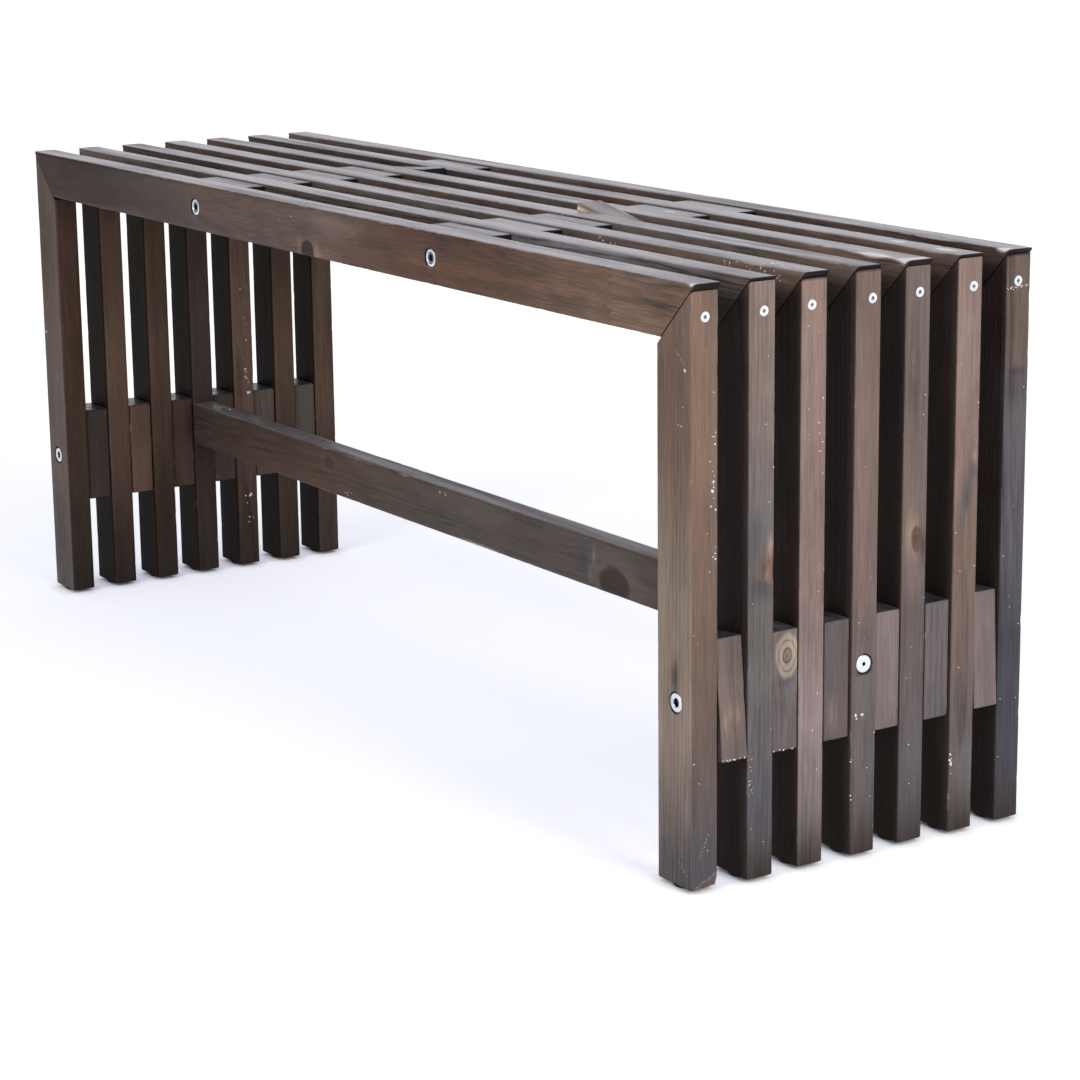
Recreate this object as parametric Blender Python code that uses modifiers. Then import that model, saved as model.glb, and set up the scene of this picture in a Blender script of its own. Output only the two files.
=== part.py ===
"""Slatted bench of dark stained timber.

Inverted U frames, each a seat rail mitred onto two legs, stand side by side from front to rear.
Spacer blocks keep the frames apart, four through bolts with cap nuts clamp the stack, and one
stretcher ties the two rows of legs together. Every leg stands on a round glide.

X runs along the seat, Y from the front frame to the rear one, Z up from the floor. The origin
is on the floor under the middle of the seat.
"""

import math

import bmesh
import bpy

# Overall size, metres
SEAT_LENGTH = 1.140
SEAT_HEIGHT = 0.450
FRAME_COUNT = 7

# Planed timber that rails, legs and stretcher are cut from
TIMBER_THICKNESS = 0.024
TIMBER_WIDTH = 0.043
EDGE_RADIUS = 0.0018

# Spacing of the frames and the blocks between them
FRAME_GAP = 0.024
SPACER_LENGTH = 0.092
SPACER_SETBACK = 0.0015
SPACER_CHAMFER = 0.0010

# Places of the fixings
SEAT_BOLT_SPACING = 0.418
LEG_BOLT_HEIGHT = 0.142
SCREW_ABOVE_BOLT_WEB = 0.0029
STRETCHER_ABOVE_SCREW = 0.010

# Through bolts and their cap nuts
BOLT_DIAMETER = 0.006
HEAD_DIAMETER = 0.0155
HEAD_THICKNESS = 0.0020
HEAD_CHAMFER = 0.0006
HEAD_SINK = 0.0004
SOCKET_ACROSS_FLATS = 0.0040
SOCKET_DEPTH = 0.0026
BOLT_POINT = 0.0010
NUT_WALL = 0.0012
NUT_LENGTH = 0.016
NUT_WEB = 0.0019

# Screws that hold the stretcher
SCREW_DIAMETER = 0.005
SCREW_HEAD_DIAMETER = 0.0145
SCREW_GRIP = 0.045
SCREW_POINT = 0.006
SCREW_TIP_RADIUS = 0.0006

# Glides under the legs
GLIDE_DIAMETER = 0.022
GLIDE_HEIGHT = 0.003
GLIDE_ROUNDING = 0.0008
GLIDE_SEAT = 0.0010

# Clearance between pieces that touch, and between a bore and what fills it
CLEARANCE = 0.0003
OVERCUT = 0.002

# Legs that have crept inwards and down along their mitres, front frame to rear frame
RIGHT_CREEP = (0.005, 0.002, 0.004, 0.002, 0.004, 0.002, 0.003)
LEFT_CREEP = (0.002, 0.001, 0.002, 0.001, 0.001, 0.002, 0.001)

# Spacers that have turned on their bolts, degrees, gaps counted from the front
SEAT_SPACER_TURNS = {("right", 4): 10.0, ("left", 5): -4.0}
LEG_SPACER_TURNS = {("right", 1): -5.0, ("right", 6): -3.0}

# Steps of turned pieces and of rounded edges, and limits for telling points and edges apart
TURNED_STEPS = 20
EDGE_SEGMENTS = 2
MERGE_DISTANCE = 0.00001
ALONG_GRAIN = 0.99

# Sizes that follow
FRAME_PITCH = TIMBER_THICKNESS + FRAME_GAP
STACK_DEPTH = (FRAME_COUNT - 1) * FRAME_PITCH + TIMBER_THICKNESS
HALF_LENGTH = SEAT_LENGTH / 2
FRONT_FACE = -STACK_DEPTH / 2
RAIL_CENTRE_HEIGHT = SEAT_HEIGHT - TIMBER_WIDTH / 2
SPACER_WIDTH = TIMBER_WIDTH - 2 * SPACER_SETBACK
SPACER_THICKNESS = FRAME_GAP - 2 * CLEARANCE
BOLT_BORE_RADIUS = BOLT_DIAMETER / 2 + CLEARANCE
SCREW_BORE_RADIUS = SCREW_DIAMETER / 2 + CLEARANCE
NUT_SLEEVE_RADIUS = BOLT_BORE_RADIUS + NUT_WALL
NUT_END_WALL = SOCKET_DEPTH + NUT_WEB
HEAD_RECESS = HEAD_SINK + HEAD_THICKNESS + CLEARANCE
BOLT_LENGTH = STACK_DEPTH - 2 * HEAD_SINK - NUT_END_WALL - CLEARANCE
SCREW_LENGTH = TIMBER_WIDTH + SCREW_GRIP - HEAD_SINK
SCREW_HEIGHT = LEG_BOLT_HEIGHT + BOLT_BORE_RADIUS + SCREW_ABOVE_BOLT_WEB + SCREW_BORE_RADIUS
STRETCHER_HEIGHT = SCREW_HEIGHT + STRETCHER_ABOVE_SCREW
MITRE_DROP = CLEARANCE * math.sqrt(2)
MIDDLE_FRAME = FRAME_COUNT // 2
SIDES = {"left": -1, "right": 1}
CREEP = {"left": LEFT_CREEP, "right": RIGHT_CREEP}


def clear_scene():
    for item in list(bpy.data.objects):
        bpy.data.objects.remove(item, do_unlink=True)


def new_collection(name):
    collection = bpy.data.collections.new(name)
    bpy.context.scene.collection.children.link(collection)
    return collection


def new_material(name, colour, roughness, metallic):
    material = bpy.data.materials.new(name)
    material.use_nodes = True
    shader = material.node_tree.nodes["Principled BSDF"]
    shader.inputs["Base Color"].default_value = (*colour, 1.0)
    shader.inputs["Roughness"].default_value = roughness
    shader.inputs["Metallic"].default_value = metallic
    material.diffuse_color = (*colour, 1.0)
    return material


def add_part(name, mesh, material, parent, location, rotation=(0.0, 0.0, 0.0)):
    if not mesh.materials:
        mesh.materials.append(material)
    part = bpy.data.objects.new(name, mesh)
    PARTS.objects.link(part)
    part.parent = parent
    part.location = location
    part.rotation_euler = rotation
    return part


def add_cutter(name, mesh, location, rotation):
    cutter = bpy.data.objects.new(name, mesh)
    CUTTERS.objects.link(cutter)
    cutter.location = location
    cutter.rotation_euler = rotation
    cutter.hide_render = True
    cutter.display_type = "WIRE"
    return cutter


def add_empty(name, parent, location):
    empty = bpy.data.objects.new(name, None)
    PARTS.objects.link(empty)
    empty.parent = parent
    empty.location = location
    return empty


def add_boolean(part, operation, tool):
    modifier = part.modifiers.new(f"{operation.lower()} {tool.name}", "BOOLEAN")
    modifier.operation = operation
    modifier.object = tool
    modifier.solver = "EXACT"


def box(length, depth, height):
    bm = bmesh.new()
    bmesh.ops.create_cube(bm, size=1.0)
    bmesh.ops.scale(bm, vec=(length, depth, height), verts=bm.verts)
    return bm


def finish_mesh(bm, name):
    mesh = bpy.data.meshes.new(name)
    bm.to_mesh(mesh)
    bm.free()
    return mesh


def mark_long_edges(bm, axis):
    """Weight the edges that run along the grain, the only ones the planer rounded."""
    weight = bm.edges.layers.float.new("bevel_weight_edge")
    for edge in bm.edges:
        run = (edge.verts[1].co - edge.verts[0].co).normalized()
        if abs(run[axis]) > ALONG_GRAIN:
            edge[weight] = 1.0


def round_long_edges(part):
    modifier = part.modifiers.new("rounded edges", "BEVEL")
    modifier.limit_method = "WEIGHT"
    modifier.width = EDGE_RADIUS
    modifier.segments = EDGE_SEGMENTS


def add_turning(thing):
    """Turn a profile about the local Z axis into a closed round piece."""
    modifier = thing.modifiers.new("turned", "SCREW")
    modifier.axis = "Z"
    modifier.angle = math.tau
    modifier.steps = TURNED_STEPS
    modifier.render_steps = TURNED_STEPS
    modifier.use_merge_vertices = True
    modifier.merge_threshold = MERGE_DISTANCE
    modifier.use_smooth_shade = True


def profile_mesh(name, points):
    """A half section of a turned piece: radius and height, from the top down the outside."""
    bm = bmesh.new()
    verts = [bm.verts.new((radius, 0.0, height)) for radius, height in points]
    for upper, lower in zip(verts, verts[1:]):
        bm.edges.new((upper, lower))
    return finish_mesh(bm, name)


def frame_y(index):
    return FRONT_FACE + TIMBER_THICKNESS / 2 + index * FRAME_PITCH


def gap_y(index):
    return frame_y(index) + FRAME_PITCH / 2


def creep(side, index):
    amounts = CREEP[side]
    return amounts[index % len(amounts)]


def leg_centre(side, index):
    return SIDES[side] * (HALF_LENGTH - creep(side, index) - TIMBER_WIDTH / 2)


def leg_row_centre(side):
    """Middle of a row of legs, where the bolt through that row runs."""
    return sum(leg_centre(side, index) for index in range(FRAME_COUNT)) / FRAME_COUNT


def seat_bolt_x(side):
    return SIDES[side] * SEAT_BOLT_SPACING / 2


def rail_mesh():
    """A board on edge, both ends cut back at 45 degrees below the seat."""
    bm = box(SEAT_LENGTH, TIMBER_THICKNESS, TIMBER_WIDTH)
    for vert in bm.verts:
        if vert.co.z < 0:
            vert.co.x -= math.copysign(TIMBER_WIDTH, vert.co.x)
    mark_long_edges(bm, axis=0)
    return finish_mesh(bm, "seat rail")


def leg_mesh(side, index):
    """An upright board, its top cut at 45 degrees to lie under the rail's end."""
    top = SEAT_HEIGHT - GLIDE_HEIGHT - creep(side, index) - MITRE_DROP
    bm = box(TIMBER_WIDTH, TIMBER_THICKNESS, top)
    for vert in bm.verts:
        vert.co.z += top / 2
    for vert in bm.verts:
        inner = vert.co.x * SIDES[side] < 0
        if inner and vert.co.z > top / 2:
            vert.co.z -= TIMBER_WIDTH
    mark_long_edges(bm, axis=2)
    return finish_mesh(bm, f"{side} leg {index + 1}")


def spacer_mesh():
    return finish_mesh(box(SPACER_LENGTH, SPACER_THICKNESS, SPACER_WIDTH), "spacer block")


def glide_profile():
    """Round foot, softened at the floor, its top let into the leg."""
    radius = GLIDE_DIAMETER / 2
    return [
        (0.0, GLIDE_HEIGHT + GLIDE_SEAT),
        (radius, GLIDE_HEIGHT + GLIDE_SEAT),
        (radius, GLIDE_ROUNDING),
        (radius - GLIDE_ROUNDING, 0.0),
        (0.0, 0.0),
    ]


def headed_profile(head_diameter, shank_diameter, length, point, tip_radius):
    """Flat headed fastener, the top of its head at zero and its shank below."""
    head = head_diameter / 2
    shank = shank_diameter / 2
    return [
        (0.0, 0.0),
        (head - HEAD_CHAMFER, 0.0),
        (head, -HEAD_CHAMFER),
        (head, -HEAD_THICKNESS),
        (shank, -HEAD_THICKNESS),
        (shank, -length + point),
        (tip_radius, -length),
        (0.0, -length),
    ]


def bolt_profile():
    tip_radius = BOLT_DIAMETER / 2 - BOLT_POINT
    return headed_profile(HEAD_DIAMETER, BOLT_DIAMETER, BOLT_LENGTH, BOLT_POINT, tip_radius)


def screw_profile():
    return headed_profile(
        SCREW_HEAD_DIAMETER, SCREW_DIAMETER, SCREW_LENGTH, SCREW_POINT, SCREW_TIP_RADIUS
    )


def nut_profile():
    """Cap nut: flat head, sleeve, and a blind bore that opens at the sleeve's mouth."""
    head = HEAD_DIAMETER / 2
    return [
        (0.0, 0.0),
        (head - HEAD_CHAMFER, 0.0),
        (head, -HEAD_CHAMFER),
        (head, -HEAD_THICKNESS),
        (NUT_SLEEVE_RADIUS, -HEAD_THICKNESS),
        (NUT_SLEEVE_RADIUS, -NUT_LENGTH),
        (BOLT_BORE_RADIUS, -NUT_LENGTH),
        (BOLT_BORE_RADIUS, -NUT_END_WALL),
        (0.0, -NUT_END_WALL),
    ]


def stack_bore_profile():
    """Stepped bore through the whole stack: head recess, shank bore, sleeve bore, nut recess."""
    head = HEAD_DIAMETER / 2 + CLEARANCE
    sleeve = NUT_SLEEVE_RADIUS + CLEARANCE
    sleeve_mouth = HEAD_SINK + NUT_LENGTH + CLEARANCE - STACK_DEPTH
    return [
        (0.0, OVERCUT),
        (head, OVERCUT),
        (head, -HEAD_RECESS),
        (BOLT_BORE_RADIUS, -HEAD_RECESS),
        (BOLT_BORE_RADIUS, sleeve_mouth),
        (sleeve, sleeve_mouth),
        (sleeve, HEAD_RECESS - STACK_DEPTH),
        (head, HEAD_RECESS - STACK_DEPTH),
        (head, -STACK_DEPTH - OVERCUT),
        (0.0, -STACK_DEPTH - OVERCUT),
    ]


def screw_bore_profile():
    """Stepped bore through a middle leg into the stretcher's end."""
    head = SCREW_HEAD_DIAMETER / 2 + CLEARANCE
    depth = HEAD_SINK + SCREW_LENGTH + CLEARANCE
    return [
        (0.0, OVERCUT),
        (head, OVERCUT),
        (head, -HEAD_RECESS),
        (SCREW_BORE_RADIUS, -HEAD_RECESS),
        (SCREW_BORE_RADIUS, -depth),
        (0.0, -depth),
    ]


def socket_mesh():
    """Hexagonal key socket, cut from the top of a head."""
    bm = bmesh.new()
    corner_radius = SOCKET_ACROSS_FLATS / math.sqrt(3)
    bmesh.ops.create_cone(
        bm,
        cap_ends=True,
        segments=6,
        radius1=corner_radius,
        radius2=corner_radius,
        depth=2 * SOCKET_DEPTH,
    )
    return finish_mesh(bm, "key socket")


def facing(direction):
    """Rotation that points a turned piece's head along the named direction."""
    quarter = math.pi / 2
    return {
        "front": (quarter, 0.0, 0.0),
        "rear": (-quarter, 0.0, 0.0),
        "right": (0.0, quarter, 0.0),
        "left": (0.0, -quarter, 0.0),
    }[direction]


def build_frames(origin):
    """Rails and legs, frame by frame from the front."""
    rails = []
    legs = {"left": [], "right": []}
    rail_board = rail_mesh()
    for index in range(FRAME_COUNT):
        frame = add_empty(f"frame_{index + 1}", origin, (0.0, frame_y(index), 0.0))
        rail = add_part(
            f"seat_rail_{index + 1}", rail_board, RAIL_WOOD, frame, (0.0, 0.0, RAIL_CENTRE_HEIGHT)
        )
        round_long_edges(rail)
        rails.append(rail)
        for side in SIDES:
            place = (leg_centre(side, index), 0.0, GLIDE_HEIGHT)
            leg = add_part(
                f"{side}_leg_{index + 1}", leg_mesh(side, index), LEG_WOOD, frame, place
            )
            round_long_edges(leg)
            foot_place = (leg_centre(side, index), frame_y(index), 0.0)
            foot = add_cutter(f"{side} glide {index + 1}", GLIDE, foot_place, (0.0, 0.0, 0.0))
            add_turning(foot)
            add_boolean(leg, "UNION", foot)
            legs[side].append(leg)
    return rails, legs


def build_spacers(origin):
    """Blocks in every gap: flat ones between the rails, upright ones between the legs."""
    seat_spacers = {"left": [], "right": []}
    leg_spacers = {"left": [], "right": []}
    block = spacer_mesh()
    for side in SIDES:
        for index in range(FRAME_COUNT - 1):
            gap = index + 1
            turn = math.radians(SEAT_SPACER_TURNS.get((side, gap), 0.0))
            seat_spacer = add_part(
                f"{side}_seat_spacer_{gap}",
                block,
                SPACER_WOOD,
                origin,
                (seat_bolt_x(side), gap_y(index), RAIL_CENTRE_HEIGHT),
                (0.0, turn, 0.0),
            )
            seat_spacers[side].append(seat_spacer)
            turn = math.pi / 2 + math.radians(LEG_SPACER_TURNS.get((side, gap), 0.0))
            leg_spacer = add_part(
                f"{side}_leg_spacer_{gap}",
                block,
                SPACER_WOOD,
                origin,
                (leg_row_centre(side), gap_y(index), LEG_BOLT_HEIGHT),
                (0.0, turn, 0.0),
            )
            leg_spacers[side].append(leg_spacer)
    for spacer in sum([*seat_spacers.values(), *leg_spacers.values()], []):
        chamfer = spacer.modifiers.new("chamfered edges", "BEVEL")
        chamfer.width = SPACER_CHAMFER
        chamfer.segments = 1
    return seat_spacers, leg_spacers


def build_stretcher(origin):
    """Board between the inner faces of the two middle legs."""
    reach = {
        side: HALF_LENGTH - creep(side, MIDDLE_FRAME) - TIMBER_WIDTH - CLEARANCE for side in SIDES
    }
    bm = box(reach["left"] + reach["right"], TIMBER_THICKNESS, TIMBER_WIDTH)
    mark_long_edges(bm, axis=0)
    middle = (reach["right"] - reach["left"]) / 2
    place = (middle, frame_y(MIDDLE_FRAME), STRETCHER_HEIGHT)
    stretcher = add_part(
        "stretcher", finish_mesh(bm, "stretcher"), STRETCHER_WOOD, origin, place
    )
    round_long_edges(stretcher)
    return stretcher


def add_headed(name, mesh, origin, place, rotation):
    """A turned fastener with a key socket in its head."""
    fastener = add_part(name, mesh, ZINC, origin, place, rotation)
    add_turning(fastener)
    socket = add_cutter(f"{name} socket", SOCKET, place, rotation)
    add_boolean(fastener, "DIFFERENCE", socket)


def bolt_stack(name, x, z, pieces, origin):
    """One through bolt with its cap nut, and the bore for both through every piece on its line."""
    rear_face = FRONT_FACE + STACK_DEPTH
    add_headed(f"{name}_bolt", BOLT, origin, (x, FRONT_FACE + HEAD_SINK, z), facing("front"))
    add_headed(f"{name}_nut", NUT, origin, (x, rear_face - HEAD_SINK, z), facing("rear"))
    bore = add_cutter(f"{name} bore", STACK_BORE, (x, FRONT_FACE, z), facing("front"))
    add_turning(bore)
    for piece in pieces:
        add_boolean(piece, "DIFFERENCE", bore)


def screw_stretcher(side, leg, stretcher, origin):
    """One screw through the middle leg of a row into the stretcher's end grain."""
    outer_face = leg_centre(side, MIDDLE_FRAME) + SIDES[side] * TIMBER_WIDTH / 2
    y = frame_y(MIDDLE_FRAME)
    head_x = outer_face - SIDES[side] * HEAD_SINK
    place = (head_x, y, SCREW_HEIGHT)
    add_headed(f"{side}_stretcher_screw", SCREW, origin, place, facing(side))
    bore_place = (outer_face, y, SCREW_HEIGHT)
    bore = add_cutter(f"{side} screw bore", SCREW_BORE, bore_place, facing(side))
    add_turning(bore)
    add_boolean(leg, "DIFFERENCE", bore)
    add_boolean(stretcher, "DIFFERENCE", bore)


def build_bench():
    origin = add_empty("bench_origin", None, (0.0, 0.0, 0.0))
    rails, legs = build_frames(origin)
    seat_spacers, leg_spacers = build_spacers(origin)
    stretcher = build_stretcher(origin)
    for side in SIDES:
        seat_line = rails + seat_spacers[side]
        bolt_stack(f"{side}_seat", seat_bolt_x(side), RAIL_CENTRE_HEIGHT, seat_line, origin)
        leg_line = legs[side] + leg_spacers[side]
        bolt_stack(f"{side}_leg", leg_row_centre(side), LEG_BOLT_HEIGHT, leg_line, origin)
        screw_stretcher(side, legs[side][MIDDLE_FRAME], stretcher, origin)


clear_scene()
PARTS = new_collection("slatted bench")
CUTTERS = new_collection("slatted bench cutters")

RAIL_WOOD = new_material("stained rail wood", (0.085, 0.062, 0.052), 0.55, 0.0)
LEG_WOOD = new_material("stained leg wood", (0.095, 0.066, 0.052), 0.60, 0.0)
SPACER_WOOD = new_material("stained spacer wood", (0.110, 0.085, 0.075), 0.65, 0.0)
STRETCHER_WOOD = new_material("stained stretcher wood", (0.060, 0.046, 0.038), 0.60, 0.0)
ZINC = new_material("zinc plated steel", (0.780, 0.800, 0.820), 0.30, 1.0)

BOLT = profile_mesh("through bolt", bolt_profile())
SCREW = profile_mesh("stretcher screw", screw_profile())
NUT = profile_mesh("cap nut", nut_profile())
GLIDE = profile_mesh("glide", glide_profile())
STACK_BORE = profile_mesh("stack bore", stack_bore_profile())
SCREW_BORE = profile_mesh("screw bore", screw_bore_profile())
SOCKET = socket_mesh()

build_bench()
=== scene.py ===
# %% [markdown]
# # A slatted bench of dark stained timber
# Seven upside-down U frames stand in a row. Each is a seat rail mitred onto two legs, all of
# planed softwood with a dark walnut stain that sun and use have faded. Blocks keep the frames
# apart, bolts clamp the stack, and one stretcher ties the two ends together.
#
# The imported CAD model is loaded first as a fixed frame. Every board is then made again in the
# same place with worn edges and grain that runs through the timber, so that faces, mitres and
# end grain agree.

# %% Load the fixed frame
import math

import bmesh
import bpy
import numpy as np
from mathutils import Matrix, Vector, noise as value_noise
from mathutils.bvhtree import BVHTree


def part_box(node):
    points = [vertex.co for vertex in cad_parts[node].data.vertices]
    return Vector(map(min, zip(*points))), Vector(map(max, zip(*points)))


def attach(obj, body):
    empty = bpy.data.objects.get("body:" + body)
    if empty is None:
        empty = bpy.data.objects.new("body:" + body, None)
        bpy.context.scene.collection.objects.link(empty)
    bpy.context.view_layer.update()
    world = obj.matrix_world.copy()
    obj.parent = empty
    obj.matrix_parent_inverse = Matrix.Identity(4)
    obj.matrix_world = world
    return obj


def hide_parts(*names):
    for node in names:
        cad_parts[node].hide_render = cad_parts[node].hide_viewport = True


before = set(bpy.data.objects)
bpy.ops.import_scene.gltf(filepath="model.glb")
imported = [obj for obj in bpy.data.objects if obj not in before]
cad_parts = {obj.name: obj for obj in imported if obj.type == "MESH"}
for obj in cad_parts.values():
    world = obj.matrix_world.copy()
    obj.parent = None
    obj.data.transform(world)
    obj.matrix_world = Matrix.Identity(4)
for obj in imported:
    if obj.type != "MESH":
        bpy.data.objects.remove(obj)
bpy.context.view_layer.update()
scene = bpy.context.scene
scene.view_settings.view_transform = "Standard"

FRAME_COUNT = sum(name.startswith("seat_rail_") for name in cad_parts)
SIDES = {"left": -1, "right": 1}


# %% [markdown]
# ## Camera
# The camera looks at the right hand end from a little above, from far off with a long lens. Its
# place and turn come from a fit of the bench's corners to the photograph, with no lens shift, so
# that other views stay centred.

# %% Camera at the photograph's viewing angle
CAMERA_PLACE = Vector((2.24781, -1.35851, 0.75823))
CAMERA_AZIMUTH = math.radians(57.420)
CAMERA_ELEVATION = math.radians(13.343)
CAMERA_ROLL = math.radians(-0.712)
CAMERA_SENSOR = 36.0
CAMERA_SIGHT = 100.0
FOCAL_LENGTH_PIXELS = 2994.551
IMAGE_SIDE_PIXELS = 1080.0


def camera_turn(azimuth, elevation, roll):
    """Right, up and back directions of a camera that looks at the origin's side of the scene."""
    right = Vector((math.cos(azimuth), math.sin(azimuth), 0.0))
    back = Vector((
        math.sin(azimuth) * math.cos(elevation),
        -math.cos(azimuth) * math.cos(elevation),
        math.sin(elevation),
    ))
    up = back.cross(right)
    tilted_right = right * math.cos(roll) + up * math.sin(roll)
    tilted_up = up * math.cos(roll) - right * math.sin(roll)
    return Matrix((tilted_right, tilted_up, back)).transposed()


lens = bpy.data.cameras.new("bench camera")
lens.sensor_width = CAMERA_SENSOR
lens.lens = FOCAL_LENGTH_PIXELS / IMAGE_SIDE_PIXELS * CAMERA_SENSOR
lens.clip_end = CAMERA_SIGHT
camera = bpy.data.objects.new("bench camera", lens)
scene.collection.objects.link(camera)
turn = camera_turn(CAMERA_AZIMUTH, CAMERA_ELEVATION, CAMERA_ROLL)
camera.matrix_world = Matrix.Translation(CAMERA_PLACE) @ turn.to_4x4()
scene.camera = camera
print("camera lens, mm:", round(lens.lens, 2))

# %% [markdown]
# ## Node helpers
# Node trees are long to write out by hand. Here a wire stands for one output of a node, and sums
# and products of wires add the nodes that work them out. A value that is a wire is linked to an
# input, and any other value is typed into it.

# %% Helpers that build node trees


class Wire:
    """One output of a node, for use in sums."""

    def __init__(self, socket):
        self.socket = socket
        self.tree = socket.id_data

    def __add__(self, other):
        return calc("ADD", self, other)

    def __sub__(self, other):
        return calc("SUBTRACT", self, other)

    def __rsub__(self, other):
        return calc("SUBTRACT", other, self)

    def __mul__(self, other):
        return calc("MULTIPLY", self, other)

    def __truediv__(self, other):
        return calc("DIVIDE", self, other)

    def __pow__(self, other):
        return calc("POWER", self, other)

    def __abs__(self):
        return calc("ABSOLUTE", self)


def feed(inputs, values):
    """Link wires to inputs and type in all other values. Colours are opaque."""
    for key, value in values.items():
        if isinstance(value, Wire):
            value.tree.links.new(value.socket, inputs[key])
        elif inputs[key].type == "RGBA":
            inputs[key].default_value = (*value, 1.0)
        else:
            inputs[key].default_value = value


def add_node(tree, kind, values=None, **settings):
    node = tree.nodes.new(kind)
    for name, value in settings.items():
        setattr(node, name, value)
    feed(node.inputs, values or {})
    return node


def wire(tree, kind, values=None, output=0, **settings):
    """One output of a new node."""
    return Wire(add_node(tree, kind, values, **settings).outputs[output])


def wires(node):
    """All outputs of a node by name."""
    return {socket.name: Wire(socket) for socket in node.outputs}


def shared_tree(values):
    """The tree of the first wire among some values."""
    return next(value.tree for value in values if isinstance(value, Wire))


def calc(operation, *values):
    return wire(shared_tree(values), "ShaderNodeMath", dict(enumerate(values)), operation=operation)


def vector_calc(operation, *values, output="Vector"):
    tree = shared_tree(values)
    return wire(tree, "ShaderNodeVectorMath", dict(enumerate(values)), output, operation=operation)


def scaled(vector, amount):
    values = {0: vector, "Scale": amount}
    return wire(shared_tree(values.values()), "ShaderNodeVectorMath", values, operation="SCALE")


def split(vector):
    return [Wire(socket) for socket in add_node(vector.tree, "ShaderNodeSeparateXYZ", {0: vector}).outputs]


def joined(*parts):
    return wire(shared_tree(parts), "ShaderNodeCombineXYZ", dict(enumerate(parts)))


def eased(value, low, high):
    """Zero at low, one at high, with a smooth run between."""
    values = {"Value": value, "From Min": low, "From Max": high}
    return wire(value.tree, "ShaderNodeMapRange", values, interpolation_type="SMOOTHSTEP")


def noise(place, scale, detail=2.0, roughness=0.5):
    values = {"Vector": place, "Scale": scale, "Detail": detail, "Roughness": roughness}
    return wire(place.tree, "ShaderNodeTexNoise", values)


def mixed(amount, first, second):
    values = {0: amount, 6: first, 7: second}
    return wire(amount.tree, "ShaderNodeMix", values, 2, data_type="RGBA", clamp_factor=True)


def bumped(height, strength, distance):
    values = {"Strength": strength, "Distance": distance, "Height": height}
    return wire(height.tree, "ShaderNodeBump", values)


def object_place(tree):
    return wire(tree, "ShaderNodeTexCoord", output="Object")


def floats(*labels):
    return [(label, "Float") for label in labels]


def new_tree(name, kind, inputs, outputs):
    """A node group with named sockets: a name, a kind of socket and, for some, a start value."""
    tree = bpy.data.node_groups.new(name, kind)
    for label, socket_kind, *start in inputs:
        socket = tree.interface.new_socket(label, in_out="INPUT", socket_type="NodeSocket" + socket_kind)
        if start:
            socket.default_value = start[0]
    for label, socket_kind in outputs:
        tree.interface.new_socket(label, in_out="OUTPUT", socket_type="NodeSocket" + socket_kind)
    given = wires(tree.nodes.new("NodeGroupInput"))
    return tree, given, tree.nodes.new("NodeGroupOutput").inputs


def new_material(name):
    """A material, its node tree and the inputs of its surface shader."""
    material = bpy.data.materials.new(name)
    material.use_nodes = True
    tree = material.node_tree
    return material, tree, tree.nodes["Principled BSDF"].inputs


def add_piece(name, mesh):
    piece = bpy.data.objects.new(name, mesh)
    scene.collection.objects.link(piece)
    return piece


print("node helpers ready")

# %% [markdown]
# ## Floor and light
# The bench stands on a plain white floor. Soft light from the right hand end and from the front
# keeps both outsides readable, while the gaps between the boards stay dark. The backdrop behind
# is white and shows in the sheen of the seat, and the room in front of the bench is dimmer. The
# floor adds some of its own white for the camera only, so that shadows on it stay pale. This
# glow is weaker and bluer near the bench, a painted pale blue shadow, and it fades out where the
# floor is covered close by, a painted black shadow right under the feet.

# %% Floor, world and lamps
FLOOR_REACH = 40.0
# Weaker, bluer glow near the bench: a painted pale blue shadow on the floor.
FLOOR_GLOW_NEAR = (0.48, 0.49, 0.60)
FLOOR_GLOW_FAR = (0.68, 0.68, 0.68)
FLOOR_GLOW_SHAPE = (0.6, 1.0, 0.0)
FLOOR_GLOW_SPREAD = (0.45, 1.3)
FLOOR_COLOUR = (0.90, 0.90, 0.80)
FLOOR_BOUNCE = (0.55, 0.55, 0.57)
# Reach of the painted contact shadow: the glow fades where the floor is covered this close.
CONTACT_REACH = 0.016
CONTACT_SAMPLES = 12
AMBIENT_COLOUR = (0.93, 0.95, 1.0)
AMBIENT_STRENGTH = 0.42
FRONT_ROOM_STRENGTH = 0.30
REAR_ROOM_FADE = (-0.45, 0.25)
BACKDROP_SHEEN = (0.97, 0.95, 1.0)
WHITE = (1.0, 1.0, 1.0)
LAMPS = {
    "end lamp": {"place": (3.1, 0.25, 1.25), "aim": (0.4, 0.0, 0.25), "side": 1.3,
                 "power": 57.0, "colour": (1.0, 0.985, 0.96)},
    "front lamp": {"place": (0.6, -3.2, 1.7), "aim": (0.1, 0.0, 0.3), "side": 1.6,
                   "power": 48.0, "colour": (1.0, 0.99, 0.97)},
}


def seen_directly(tree):
    """One for what the camera, a glossy surface or a clear one sees, zero for lighting."""
    path = wires(add_node(tree, "ShaderNodeLightPath"))
    shiny = calc("MAXIMUM", path["Is Glossy Ray"], path["Is Transmission Ray"])
    return calc("MAXIMUM", path["Is Camera Ray"], shiny)


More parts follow.
